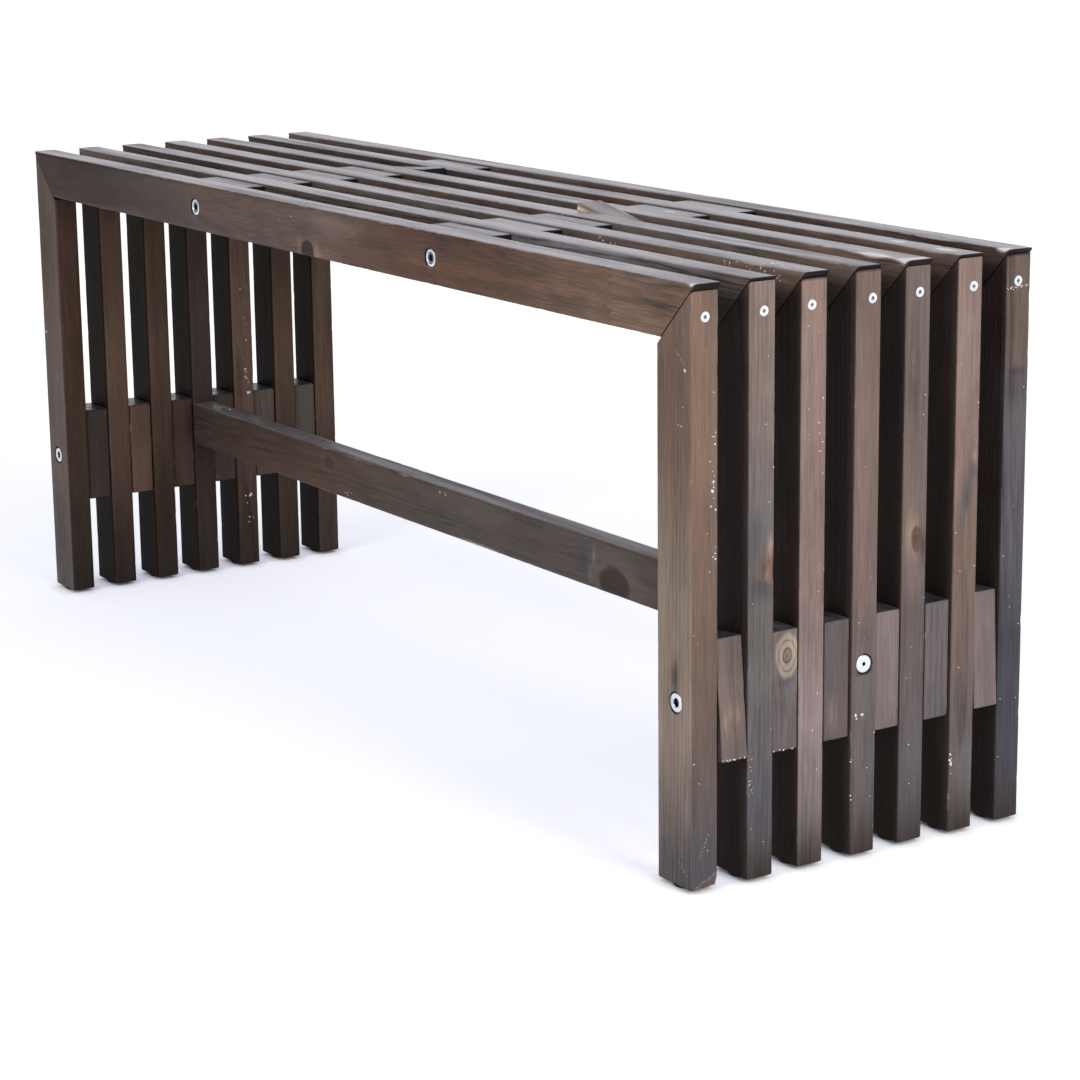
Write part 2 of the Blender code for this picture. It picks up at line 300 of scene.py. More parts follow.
def floor_material():
    material, tree, _ = new_material("white floor")
    tree.nodes.clear()
    squeezed = vector_calc("MULTIPLY", object_place(tree), FLOOR_GLOW_SHAPE)
    far = eased(vector_calc("LENGTH", squeezed, output="Value"), *FLOOR_GLOW_SPREAD)
    pale = mixed(far, FLOOR_GLOW_NEAR, FLOOR_GLOW_FAR)
    contact = {"Distance": CONTACT_REACH}
    # Painted contact shadow: the glow fades out under and right beside the feet.
    uncovered = wire(tree, "ShaderNodeAmbientOcclusion", contact, "AO", samples=CONTACT_SAMPLES)
    glow = wire(tree, "ShaderNodeEmission", {"Color": pale, "Strength": uncovered})
    paint = wire(tree, "ShaderNodeBsdfDiffuse", {"Color": FLOOR_COLOUR})
    shown = wire(tree, "ShaderNodeAddShader", {0: glow, 1: paint})
    bounce = wire(tree, "ShaderNodeBsdfDiffuse", {"Color": FLOOR_BOUNCE})
    mix = wire(tree, "ShaderNodeMixShader", {0: seen_directly(tree), 1: bounce, 2: shown})
    add_node(tree, "ShaderNodeOutputMaterial", {"Surface": mix})
    return material


def white_world():
    world = bpy.data.worlds.new("white room")
    world.use_nodes = True
    tree = world.node_tree
    tree.nodes.clear()
    ambient = {"Color": AMBIENT_COLOUR, "Strength": AMBIENT_STRENGTH}
    lighting = wire(tree, "ShaderNodeBackground", ambient)
    toward_rear = split(wire(tree, "ShaderNodeTexCoord", output="Generated"))[1]
    rear = eased(toward_rear, *REAR_ROOM_FADE)
    camera_ray = wire(tree, "ShaderNodeLightPath", output="Is Camera Ray")
    bright = calc("MAXIMUM", calc("MAXIMUM", rear, FRONT_ROOM_STRENGTH), camera_ray)
    colour = mixed(camera_ray, BACKDROP_SHEEN, WHITE)
    backdrop = wire(tree, "ShaderNodeBackground", {"Color": colour, "Strength": bright})
    mix = wire(tree, "ShaderNodeMixShader", {0: seen_directly(tree), 1: lighting, 2: backdrop})
    add_node(tree, "ShaderNodeOutputWorld", {"Surface": mix})
    return world


def soft_lamp(name, place, aim, side, power, colour):
    lamp = bpy.data.lights.new(name, "AREA")
    lamp.shape = "SQUARE"
    lamp.size = side
    lamp.energy = power
    lamp.color = colour
    holder = bpy.data.objects.new(name, lamp)
    scene.collection.objects.link(holder)
    holder.location = place
    holder.rotation_euler = (Vector(place) - Vector(aim)).to_track_quat("Z", "Y").to_euler()


floor_mesh = bpy.data.meshes.new("floor")
corners = [(FLOOR_REACH * x, FLOOR_REACH * y, 0.0) for x, y in ((-1, -1), (1, -1), (1, 1), (-1, 1))]
floor_mesh.from_pydata(corners, [], [(0, 1, 2, 3)])
floor_mesh.materials.append(floor_material())
floor = add_piece("floor", floor_mesh)
scene.world = white_world()
for name, lamp in LAMPS.items():
    soft_lamp(name, **lamp)
print("floor and world ready, lamps:", len(LAMPS))

# %% [markdown]
# ## Timber figure
# Softwood shows growth rings, fine fibres and broad clouds where the stain took unevenly. Each
# board carries its own place inside the log as a mesh attribute, so the rings are real circles
# round the log's heart: they run as lines along the faces and as arcs across the ends. A knot
# is a second attribute: the place round the knot's centre, in units of the knot's size.

# %% Shader group for the figure of the timber
MIDDLE = 0.5
FAR_FROM_KNOTS = (9.0, 0.0, 0.0)
RING_DRIFT = 8.0
RING_SHARPNESS = 2.5
RING_END = (1.0, 0.9)
RING_LINES_SHOWN = (0.38, 0.68)
KNOT_NOISE = (90.0, 3.0, 0.6)
KNOT_RAGGEDNESS = 0.4
KNOT_RIM = (1.2, 0.85)
KNOT_CORE = (0.50, 0.30)
KNOT_CORE_DEPTH = 0.35
KNOT_HALO = (2.6, 1.15)
KNOT_HALO_LIFT = 0.16
KNOT_RING_PACE = 8.5
KNOT_RING_DEPTH = 0.5
KNOT_LIGHTEST = 0.62
RING_RELIEF = 0.5
FIBRE_RELIEF = 0.6
KNOT_RELIEF = 0.6
# Fineness along and across the fibres, detail and roughness
FIBRE_NOISES = {
    "drift": (1.6, 14.0, 3.0, 0.5),
    "lines": (1.1, 30.0, 2.0, 0.5),
    "fibre": (34.0, 850.0, 3.0, 0.6),
    "streaks": (2.6, 120.0, 4.0, 0.6),
    "clouds": (9.0, 26.0, 4.0, 0.62),
    "dashes": (60.0, 300.0, 3.0, 0.65),
    "sitting": (5.0, 70.0, 4.0, 0.6),
}


def fibre_noise(grain, kind):
    along, across, detail, roughness = FIBRE_NOISES[kind]
    return noise(vector_calc("MULTIPLY", grain, (along, across, across)), 1.0, detail, roughness)


def timber_figure():
    inputs = [("Grain", "Vector"), ("Knot", "Vector", FAR_FROM_KNOTS)]
    inputs += [("Ring Spacing", "Float", 0.003), ("Waviness", "Float", 0.004)]
    labels = ("Rings", "Fibre", "Streaks", "Clouds", "Knot Heart", "Knot Rings", "Relief")
    tree, given, results = new_tree("timber figure", "ShaderNodeTree", inputs, floats(*labels))
    grain = given["Grain"]
    _, y, z = split(grain)
    drift = fibre_noise(grain, "drift") - MIDDLE
    swept = calc("SQRT", y * y + z * z) + drift * (given["Waviness"] * RING_DRIFT)
    tooth = calc("FRACT", swept / given["Ring Spacing"])
    shown = eased(fibre_noise(grain, "lines"), *RING_LINES_SHOWN)
    rings = tooth ** RING_SHARPNESS * eased(tooth, *RING_END) * shown
    fibre = fibre_noise(grain, "fibre")
    ragged = noise(grain, *KNOT_NOISE) - MIDDLE
    count = vector_calc("LENGTH", given["Knot"], output="Value") + ragged * KNOT_RAGGEDNESS
    heart = eased(count, *KNOT_RIM)
    line = (1.0 - abs(calc("SINE", count * KNOT_RING_PACE))) ** 2.0
    core = eased(count, *KNOT_CORE) * KNOT_CORE_DEPTH
    knot_rings = KNOT_LIGHTEST - (line * KNOT_RING_DEPTH + core)
    halo = calc("MAXIMUM", eased(count, *KNOT_HALO) - heart, 0.0)
    clouds = fibre_noise(grain, "clouds") + halo * KNOT_HALO_LIFT
    relief = rings * RING_RELIEF + fibre * FIBRE_RELIEF + heart * knot_rings * KNOT_RELIEF
    made = (rings, fibre, fibre_noise(grain, "streaks"), clouds, heart, knot_rings, relief)
    feed(results, dict(zip(labels, made)))
    return tree


TIMBER_FIGURE = timber_figure()
print("timber figure nodes:", len(TIMBER_FIGURE.nodes))

# %% [markdown]
# ## Wear and dust
# Handling rubs the stain off the edges first, along the fibres, so the pale timber shows in
# short dashes. Dust settles on faces that look up and dulls them to a cool grey, and sitting
# polishes them, so at a low angle they shine. All three are masks that every timber finish can
# use with its own amounts.

# %% Shader group for rubbed edges, dust and polish
DASH_WEIGHT = 0.75
PATCH_FINENESS = 14.0
PATCH_WEIGHT = 0.5
RUBBED_FROM = (0.98, 1.22)
LOOKS_UP = (0.72, 0.97)
DUST_NOISE = (30.0, 4.0, 0.65)
DUST_FILM = (0.25, 0.85)
POLISHED = (0.26, 0.64)


def wear_and_dust():
    inputs = [("Grain", "Vector"), ("Edge", "Float", 0.0)]
    inputs += [("Rubbing", "Float", 0.5), ("Dustiness", "Float", 0.3)]
    outputs = floats("Rubbed", "Dust", "Polish")
    tree, given, results = new_tree("wear and dust", "ShaderNodeTree", inputs, outputs)
    grain = given["Grain"]
    level = fibre_noise(grain, "dashes") * DASH_WEIGHT + noise(grain, PATCH_FINENESS) * PATCH_WEIGHT
    level = level + given["Edge"] * given["Rubbing"]
    facing_up = eased(split(wire(tree, "ShaderNodeNewGeometry", output="Normal"))[2], *LOOKS_UP)
    film = eased(noise(grain, *DUST_NOISE), *DUST_FILM)
    feed(results, {
        "Rubbed": eased(level, *RUBBED_FROM),
        "Dust": film * facing_up * given["Dustiness"],
        "Polish": facing_up * eased(fibre_noise(grain, "sitting"), *POLISHED),
    })
    return tree


WEAR_AND_DUST = wear_and_dust()
print("wear group nodes:", len(WEAR_AND_DUST.nodes))

# %% [markdown]
# ## Finger joint
# Long boards are often glued up from shorter ones. The ends are cut into matching fingers, which
# show as a comb on the broad faces and as a straight line on the narrow ones. Past the joint it
# is another piece of timber, so the figure jumps and the stain has taken a little paler.

# %% Shader group for a finger joint
FINGER_LENGTH = 0.010
FINGER_PITCH = 0.0062
JOINT_SOFTNESS = 0.0004
GLUE_LINE = (0.0016, 0.0002)


def finger_joint():
    inputs = [("Grain", "Vector"), ("Joint", "Float", -1.0)]
    tree, given, results = new_tree("finger joint", "ShaderNodeTree", inputs, floats("Beyond", "Glue"))
    tooth = calc("PINGPONG", split(given["Grain"])[2], FINGER_PITCH / 2)
    past = given["Joint"] + FINGER_LENGTH / 2 - tooth * (2 * FINGER_LENGTH / FINGER_PITCH)
    feed(results, {
        "Beyond": eased(past, -JOINT_SOFTNESS, JOINT_SOFTNESS), "Glue": eased(abs(past), *GLUE_LINE),
    })
    return tree


FINGER_JOINT = finger_joint()
print("finger joint nodes:", len(FINGER_JOINT.nodes))

# %% [markdown]
# ## Stained timber
# One recipe makes all four timber finishes of the record. The stain's own colour comes from the
# board, because every board has faded differently: warm, pinkish, olive, grey or slate. The
# figure lightens and darkens it, knots darken and redden it, and wear and dust go on top.

# %% Timber finishes
BARE_TIMBER = (0.50, 0.44, 0.41)
CHALKY_TIMBER = (0.86, 0.84, 0.82)
CHALKY_FROM = (1.1, 1.8)
DUST_COLOUR = (0.36, 0.36, 0.41)
WARM_SHIFT = (0.38, -0.02, -0.25)
PALER_PAST_JOINT = (1.16, 1.20, 1.22)
NEXT_PIECE = (1.9, 0.011, 0.017)
GLUE_SHADE = 0.2
DARKEST = 0.25
RUBBED_COVER = 0.6
CHALKY_COVER = 0.35
RUBBED_DEPTH = 0.4
GRAIN_BUMP = (0.55, 0.0005)
FIBRE_ROUGHNESS = 0.16
DUST_ROUGHNESS = 0.25
RUBBED_ROUGHNESS = 0.2
POLISH_ROUGHNESS = 0.30
# Middle of each mark of the figure, and its weight in the tone
FIGURE_WEIGHTS = {"Rings": (0.1, -0.8), "Fibre": (0.5, 1.6), "Streaks": (0.5, 0.8), "Clouds": (0.5, 1.6)}


def attribute(tree, name, output):
    return wire(tree, "ShaderNodeAttribute", None, output, attribute_name=name)


def use_group(tree, group, values):
    return wires(add_node(tree, "ShaderNodeGroup", values, node_tree=group))


def stained_timber(name, ring_spacing, waviness, contrast, rubbing, dustiness, gloss, polish,
                   lightness=1.0, shine=0.12):
    material, tree, surface = new_material(name)
    grain = attribute(tree, "grain", "Vector")
    knot = attribute(tree, "knot", "Vector")
    edge = attribute(tree, "edge", "Fac")
    joint = use_group(tree, FINGER_JOINT, {"Grain": grain, "Joint": attribute(tree, "joint", "Fac")})
    grain = vector_calc("ADD", grain, scaled(NEXT_PIECE, joint["Beyond"]))
    figure = use_group(tree, TIMBER_FIGURE, {
        "Grain": grain, "Knot": knot, "Ring Spacing": ring_spacing, "Waviness": waviness,
    })
    wear = use_group(tree, WEAR_AND_DUST, {
        "Grain": grain, "Edge": edge, "Rubbing": rubbing, "Dustiness": dustiness,
    })
    tone = lightness
    for mark, (middle, weight) in FIGURE_WEIGHTS.items():
        tone = (figure[mark] - middle) * (weight * contrast) + tone
    tone = calc("MAXIMUM", tone - joint["Glue"] * GLUE_SHADE, DARKEST)
    warmth = scaled(WARM_SHIFT, (figure["Streaks"] - MIDDLE) * contrast)
    tint = vector_calc("ADD", warmth, WHITE)
    paler = mixed(joint["Beyond"], WHITE, PALER_PAST_JOINT)
    taken = vector_calc("MULTIPLY", attribute(tree, "stain", "Color"), paler)
    stain = scaled(vector_calc("MULTIPLY", taken, tint), tone)
    ring_tone = (figure["Knot Rings"] - MIDDLE) * attribute(tree, "heart", "Alpha") + tone
    heart = scaled(attribute(tree, "heart", "Color"), ring_tone)
    knotted = mixed(figure["Knot Heart"], stain, heart)
    heavy = eased(edge, *CHALKY_FROM)
    bare = mixed(heavy, BARE_TIMBER, CHALKY_TIMBER)
    rubbed = mixed(wear["Rubbed"] * (heavy * CHALKY_COVER + RUBBED_COVER), knotted, bare)
    rough = figure["Fibre"] * FIBRE_ROUGHNESS + gloss
    rough = rough + wear["Dust"] * DUST_ROUGHNESS + wear["Rubbed"] * RUBBED_ROUGHNESS
    height = figure["Relief"] - wear["Rubbed"] * RUBBED_DEPTH
    feed(surface, {
        "Base Color": mixed(wear["Dust"], rubbed, DUST_COLOUR),
        "Roughness": rough,
        "Normal": bumped(height, *GRAIN_BUMP),
        "Coat Weight": wear["Polish"] * polish,
        "Coat Roughness": POLISH_ROUGHNESS,
        "Specular IOR Level": shine,
    })
    return material


FINISH = {
    "rail_wood": stained_timber(
        "stained rail timber", ring_spacing=0.0042, waviness=0.0045, contrast=1.05,
        rubbing=0.40, dustiness=0.45, gloss=0.40, polish=0.96),
    "leg_wood": stained_timber(
        "stained leg timber", ring_spacing=0.0046, waviness=0.0040, contrast=0.64,
        rubbing=0.36, dustiness=0.30, gloss=0.46, polish=0.5, lightness=1.06, shine=0.04),
    "spacer_wood": stained_timber(
        "stained spacer timber", ring_spacing=0.0034, waviness=0.0035, contrast=0.62,
        rubbing=0.40, dustiness=0.40, gloss=0.50, polish=0.96),
    "stretcher_wood": stained_timber(
        "stained stretcher timber", ring_spacing=0.0044, waviness=0.0060, contrast=0.75,
        rubbing=0.42, dustiness=0.35, gloss=0.42, polish=0.5),
}
print("timber finishes:", sorted(FINISH))

# %% [markdown]
# ## Board shape
# All boards are the same planed stock: a long bar with eased edges, cut square or at a mitre.
# A subdivided bar is drawn towards its edges, rounded, cut back at the ends and dented where
# it has been knocked. The shape follows a rule, so one Geometry Nodes tree makes every board.

# %% Geometry Nodes tree for a worn board
CELLS_ACROSS = 8
CELLS_DOWN = 14
ROWS_DRAWN_IN = 0.012
END_EASING = 0.0007
EDGE_BAND = 0.006
KNOCK_SCALE = 75.0
KNOCK_FROM = 0.58
KNOCK_GAIN = 4.0
WAVE_SCALE = 16.0
WAVE_MIDDLE = 0.6
FLAT_UNEVENNESS = 0.00025
SEED_STEP = (0.73, 0.31, 0.57)
TINY = 1e-7


def run_tree(tree, name, values, base=None):
    """Run a geometry tree once and keep the result as a plain mesh."""
    maker = bpy.data.objects.new(name + " maker", base or bpy.data.meshes.new(name + " start"))
    modifier = maker.modifiers.new("maker", "NODES")
    modifier.node_group = tree
    for item in tree.interface.items_tree:
        if item.item_type == "SOCKET" and item.in_out == "INPUT" and item.name in values:
            modifier[item.identifier] = values[item.name]
    scene.collection.objects.link(maker)
    depsgraph = bpy.context.evaluated_depsgraph_get()
    mesh = bpy.data.meshes.new_from_object(maker.evaluated_get(depsgraph))
    mesh.name = name
    bpy.data.objects.remove(maker)
    return mesh


def moved(shape, **position):
    return wire(shape.tree, "GeometryNodeSetPosition", {"Geometry": shape, **position})


def smoothed(shape):
    return wire(shape.tree, "GeometryNodeSetShadeSmooth", {"Geometry": shape})


def finished(shape, finish):
    real = wire(shape.tree, "GeometryNodeRealizeInstances", {"Geometry": shape})
    return wire(shape.tree, "GeometryNodeSetMaterial", {"Geometry": real, "Material": finish})


def signed(size, original):
    return calc("SIGN", original) * size


def worn_board():
    inputs = floats("Length", "Thickness", "Width", "Edge Radius", "Start Cut", "End Cut")
    inputs += floats("Cut Reach", "Row Spacing", "Knock Depth", "Seed")
    inputs += [("Fineness", "Int", 1), ("Finish", "Material")]
    tree, given, results = new_tree("worn board", "GeometryNodeTree", inputs, [("Geometry", "Geometry")])
    sizes = [given[label] for label in ("Length", "Thickness", "Width")]
    half_length, half_thick, half_width = (size * 0.5 for size in sizes)
    shape = wire(tree, "GeometryNodeMeshCube", {
        "Size": joined(*sizes),
        "Vertices X": given["Length"] / given["Row Spacing"] * given["Fineness"],
        "Vertices Y": given["Fineness"] * CELLS_ACROSS + 1,
        "Vertices Z": given["Fineness"] * CELLS_DOWN + 1,
    })
    here = wire(tree, "GeometryNodeInputPosition")
    x, y, z = split(here)
    far_y = abs(y)
    far_z = abs(z)
    from_end = half_length - abs(x)

    def drawn_out(value, half):
        return calc("SINE", value / half * (math.pi / 2)) * half

    closer = half_length - calc("MINIMUM", from_end, from_end * from_end / ROWS_DRAWN_IN)
    drawn = joined(signed(closer, x), drawn_out(y, half_thick), drawn_out(z, half_width))
    shape = moved(shape, Position=drawn)

    flat_thick = half_thick - given["Edge Radius"]
    flat_width = half_width - given["Edge Radius"]
    past_y = calc("MAXIMUM", far_y - flat_thick, 0.0)
    past_z = calc("MAXIMUM", far_z - flat_width, 0.0)
    diagonal = calc("SQRT", past_y * past_y + past_z * past_z)
    pull = calc("MAXIMUM", past_y, past_z) / calc("MAXIMUM", diagonal, TINY)
    round_y = calc("MINIMUM", far_y, flat_thick) + past_y * pull
    round_z = calc("MINIMUM", far_z, flat_width) + past_z * pull
    shape = moved(shape, Position=joined(x, signed(round_y, y), signed(round_z, z)))

    inward = 1.0 - calc("MINIMUM", from_end / END_EASING, 1.0)
    drop = (1.0 - calc("SQRT", 1.0 - inward * inward)) * END_EASING
    less_y = 1.0 - drop / half_thick
    less_z = 1.0 - drop / half_width
    shape = moved(shape, Position=joined(x, y * less_y, z * less_z))

    below_outside = 0.5 - z / given["Width"]
    uncut = half_length - given["Cut Reach"]

    def cut_back(distance, cut):
        share = calc("MAXIMUM", (distance - uncut) / given["Cut Reach"], 0.0)
        return share * below_outside * cut

    mitred = x - cut_back(x, given["End Cut"]) + cut_back(x * -1.0, given["Start Cut"])
    shape = moved(shape, Position=joined(mitred, y, z))

    near_y = eased(far_y, half_thick - EDGE_BAND, half_thick)
    near_z = eased(far_z, half_width - EDGE_BAND, half_width)
    place = vector_calc("ADD", here, scaled(SEED_STEP, given["Seed"]))
    knock = calc("MAXIMUM", noise(place, KNOCK_SCALE) - KNOCK_FROM, 0.0)
    knock = knock * KNOCK_GAIN * (near_y * near_z * given["Knock Depth"])
    waves = (noise(place, WAVE_SCALE, 1.0) - WAVE_MIDDLE) * FLAT_UNEVENNESS
    normal = wire(tree, "GeometryNodeInputNormal")
    shape = moved(shape, Offset=scaled(normal, waves - knock))
    feed(results, {"Geometry": finished(smoothed(shape), given["Finish"])})
    return tree


WORN_BOARD = worn_board()
print("board tree nodes:", len(WORN_BOARD.nodes))

# %% [markdown]
# ## Turned pieces and bores
# Bolts, cap nuts, screws and glides are round. A half profile is drawn as a line of points, and
# a tree sweeps it round its axis. The same tree turns the cutters for the stepped bores, so the
# heads sit in recesses in the boards as they do in the CAD model.

# %% Geometry Nodes tree for turned pieces
POLE_GAP = 0.000001
SMOOTH_LIMIT = math.radians(32.0)


def turned_piece():
    inputs = [("Geometry", "Geometry"), ("Segments", "Int", 48), ("Finish", "Material")]
    tree, given, results = new_tree("turned piece", "GeometryNodeTree", inputs, [("Geometry", "Geometry")])
    circle = {"Resolution": given["Segments"], "Radius": POLE_GAP}
    path = wire(tree, "GeometryNodeCurvePrimitiveCircle", circle)
    outline = wire(tree, "GeometryNodeMeshToCurve", {"Mesh": given["Geometry"]})
    skin = wire(tree, "GeometryNodeCurveToMesh", {"Curve": path, "Profile Curve": outline})
    skin = wire(tree, "GeometryNodeMergeByDistance", {"Geometry": skin, "Distance": POLE_GAP * 8})
    feed(results, {"Geometry": finished(smoothed(skin), given["Finish"])})
    return tree


TURNED_PIECE = turned_piece()


def plain_mesh(name, bm):
    """Turn an edit mesh into a mesh of its own."""
    mesh = bpy.data.meshes.new(name)
    bm.to_mesh(mesh)
    bm.free()
    return mesh


def outward(mesh):
    """Point all faces outwards and keep creases crisp."""
    bm = bmesh.new()
    bm.from_mesh(mesh)
    bmesh.ops.recalc_face_normals(bm, faces=bm.faces)
    bm.to_mesh(mesh)
    bm.free()
    mesh.set_sharp_from_angle(angle=SMOOTH_LIMIT)
    return mesh


def turned(name, points, finish=None, segments=48):
    """Turn a half profile of radius and height about the local Z axis."""
    line = bpy.data.meshes.new(name + " profile")
    edges = [(i, i + 1) for i in range(len(points) - 1)]
    line.from_pydata([(radius, -height, 0.0) for radius, height in points], edges, [])
    values = {"Segments": segments}
    if finish is not None:
        values["Finish"] = finish
    return outward(run_tree(TURNED_PIECE, name, values, line))


def aimed(place, direction):
    """Matrix that puts a turned piece's top at a place, looking along a direction."""
    return Matrix.Translation(place) @ Vector(direction).to_track_quat("Z", "Y").to_matrix().to_4x4()


def drilled(mesh, cutters, finish=None):
    """Cut each cutter mesh out of a mesh, with the exact Boolean."""
    piece = add_piece("drilling", mesh)
    tools = []
    for cutter in cutters:
        tool = add_piece("drill", cutter)
        modifier = piece.modifiers.new("bore", "BOOLEAN")
        modifier.operation = "DIFFERENCE"
        modifier.solver = "EXACT"
        modifier.object = tool
        tools.append(tool)
    depsgraph = bpy.context.evaluated_depsgraph_get()
    result = bpy.data.meshes.new_from_object(piece.evaluated_get(depsgraph))
    for item in [piece, *tools]:
        bpy.data.objects.remove(item)
    result.set_sharp_from_angle(angle=SMOOTH_LIMIT)
    if finish is not None:
        result.materials.clear()
        result.materials.append(finish)
    return result


def stand_in(name, mesh, node):
    """Add a piece that takes the place of one CAD node, and hide that node."""
    mesh.name = name
    piece = add_piece(name, mesh)
    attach(piece, "root")
    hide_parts(node)
    return piece


print("turned piece tree nodes:", len(TURNED_PIECE.nodes))

# %% [markdown]
# ## Sizes from the frame
# Places come from the CAD nodes' boxes, so every new piece sits where its node is. Only small
# sizes that no box shows, such as a recess or a turned block's angle, are written here.

# %% Named sizes
EDGE_RADIUS = 0.0022
SPACER_EDGE_RADIUS = 0.0012
ROW_SPACING = 0.003
KNOCK_DEPTH = 0.0005
GLIDE_HEIGHT = 0.003
MITRE_OPENING = 0.0003
MITRE_REACH = 0.12
LOOSE_SPACER = "right_seat_spacer_4"
SPACER_TURNS = {
    LOOSE_SPACER: 10.0, "left_seat_spacer_5": -4.0, "right_leg_spacer_1": -5.0, "right_leg_spacer_6": -3.0,
}

rail_low, rail_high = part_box("seat_rail_1")
stack_front = rail_low.y
stack_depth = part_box(f"seat_rail_{FRAME_COUNT}")[1].y - stack_front
timber_thickness = rail_high.y - rail_low.y
timber_width = rail_high.z - rail_low.z
block_low, block_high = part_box("left_seat_spacer_1")
block_size = tuple(block_high - block_low)


def node_centre(node):
    low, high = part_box(node)
    return (low + high) / 2


def outside_of(side, node):
    """Where a node's box ends at the outer side of the bench's left or right hand end."""
    low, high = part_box(node)
    return high.x if side == "right" else low.x


print("timber section, mm:", round(timber_thickness * 1000, 1), round(timber_width * 1000, 1))

# %% [markdown]
# ## Tones
# Sun has faded the outsides, while the faces in the gaps and under the seat keep the dark
# stain. Their dark tones are partly painted shade as well, and the faces in the gaps grow darker
# towards their lower edge as painted shade. The legs are greyer towards the floor. A board's tone
# is given for each of its long faces, as a few named tones in a row along the board.

# %% Named tones and where the boards show them
TONES = {
    "walnut": (0.086, 0.052, 0.037),
    "deep": (0.056, 0.040, 0.036),
    "soot": (0.035, 0.018, 0.014),
    "smoke": (0.064, 0.046, 0.040),
    "loam": (0.097, 0.077, 0.068),
    "bark": (0.102, 0.068, 0.057),
    "russet": (0.106, 0.053, 0.035),
    "umber": (0.160, 0.098, 0.072),
    "warm": (0.180, 0.122, 0.096),
    "mauve": (0.167, 0.118, 0.104),
    "rose": (0.235, 0.165, 0.144),
    "lilac": (0.205, 0.158, 0.156),
    "drab": (0.158, 0.120, 0.108),
    "olive": (0.284, 0.222, 0.182),
    "stone": (0.150, 0.130, 0.126),
    "slate": (0.102, 0.095, 0.106),
    "ink": (0.066, 0.064, 0.077),
    "dusk": (0.125, 0.107, 0.108),
    # top: lilac grey of the seat tops, partly their dusty faded stain and partly painted sheen of the white
    # backdrop.
    "top": (0.215, 0.198, 0.208),
    "rust": (0.240, 0.140, 0.108),
    "tan": (0.300, 0.215, 0.155),
    "torn": (0.205, 0.128, 0.096),
    "clay": (0.121, 0.090, 0.077),
    "putty": (0.203, 0.151, 0.134),
    "haze": (0.252, 0.196, 0.199),
    "ash": (0.142, 0.121, 0.124),
    "heather": (0.184, 0.141, 0.142),
    "fresh": (0.360, 0.290, 0.250),
    "bare": (0.820, 0.740, 0.600),
    "chestnut": (0.108, 0.068, 0.048),
    "peat": (0.040, 0.030, 0.025),
    # pitch: near black for the hidden fronts of the left legs, partly unfaded stain and partly painted shade.
    "pitch": (0.019, 0.010, 0.007),
    "plum": (0.119, 0.094, 0.097),
    # cut: near black end grain, partly its own dark stain and partly painted shade.
    "cut": (0.006, 0.005, 0.006),
}
RIGHT_OUTSIDE = [
    "slate clay warm warm warm", "slate slate stone stone stone putty putty",
    "stone haze rose rose rose", "dusk dusk mauve mauve mauve",
    "slate dusk drab drab drab", "dusk dusk mauve warm rose rose rose",
    "ink ink ink slate slate clay clay",
]
LEG_OUTSIDES = {"right": RIGHT_OUTSIDE, "left": RIGHT_OUTSIDE[::-1]}
FIRST_FRONTS = {"left": "dusk drab drab clay clay", "right": "dusk olive olive warm warm"}
LEFT_INSIDE = [
    "peat walnut walnut", "peat umber chestnut", "peat chestnut chestnut", "peat smoke bark",
    "peat umber warm", "peat chestnut chestnut", "smoke chestnut chestnut",
]
RAIL_FRONTS = [
    # Rail 1's front runs from near black at the left end to warm brown at the right: partly its own faded
    # stain, partly a painted falloff of the light. The fronts of rails 2 to 7 face into the gaps and grow
    # lighter towards the open right hand end, partly painted light. On rail 2's front the top tone is a
    # painted highlight on a thin strip near that end.
    "soot soot smoke bark bark russet russet umber umber", "clay clay loam bark top drab",
    "walnut smoke loam loam clay warm", "walnut walnut bark bark drab warm",
    "walnut smoke smoke loam clay warm", "smoke smoke smoke walnut bark warm",
    "loam loam clay bark bark bark",
]
# Rails whose tops fall to a darker tone at the right hand end.
TOPS_DARKER_AT_END = (1, 2, 3)
LEFT_SPACERS_INSIDE = ["smoke", "umber", "walnut", "smoke", "loam", "loam"]
SPACER_TONES = {
    "leg": ["drab", "ash", "plum", "lilac", "ash", "heather"],
    # The seat blocks' tops take the top tone as well, partly painted sheen.
    "seat": ["top", "top", "top", "lilac", "top", "top"],
}
STRETCHER_FACES = {
    "outer": "dusk smoke", "inner": "deep", "front": "smoke walnut loam loam smoke", "rear": "smoke walnut",
    "ends": "cut",
}


def rail_faces(index):
    last = index == FRAME_COUNT - 1
    return {
        # Rail tops take the top tone, partly painted sheen.
        "outer": "top " * 8 + "dusk" if index in TOPS_DARKER_AT_END else "top", "inner": "walnut",
        "front": RAIL_FRONTS[index], "rear": "umber drab umber warm" if last else "walnut bark walnut",
        "ends": "cut",
    }


def leg_faces(side, index):
    # Fronts of the legs that stand in the gaps take dark tones, partly painted shade.
    hidden_front = "pitch" if side == "left" else "deep"
    last = index == FRAME_COUNT - 1
    return {
        "outer": LEG_OUTSIDES[side][index],
        "inner": LEFT_INSIDE[index] if side == "left" else "deep walnut walnut",
        "front": FIRST_FRONTS[side] if index == 0 else hidden_front,
        "rear": "dusk drab olive drab" if last else "deep",
        "ends": "cut",
    }


def spacer_faces(side, row, gap):
    tone = SPACER_TONES[row][gap - 1]
    faces = {"outer": tone, "inner": tone, "front": "deep", "rear": "deep", "ends": "cut"}
    if row == "leg":
        faces["outer" if side == "left" else "inner"] = LEFT_SPACERS_INSIDE[gap - 1]
        if side == "left":
            faces["inner"] = "walnut"
    return faces


print("tones:", len(TONES))

# %% [markdown]
# ## Knots, marks and worn spots
# What sets one board apart from the next is listed here by its place: knots, dark smears and
# pale scars, spots where the stain is worn off, a glued joint and two split corners. Some chalky
# worn spots at the rails' right hand ends are also painted highlights. Marks and worn spots have a
# half size along the fibres and one across them.

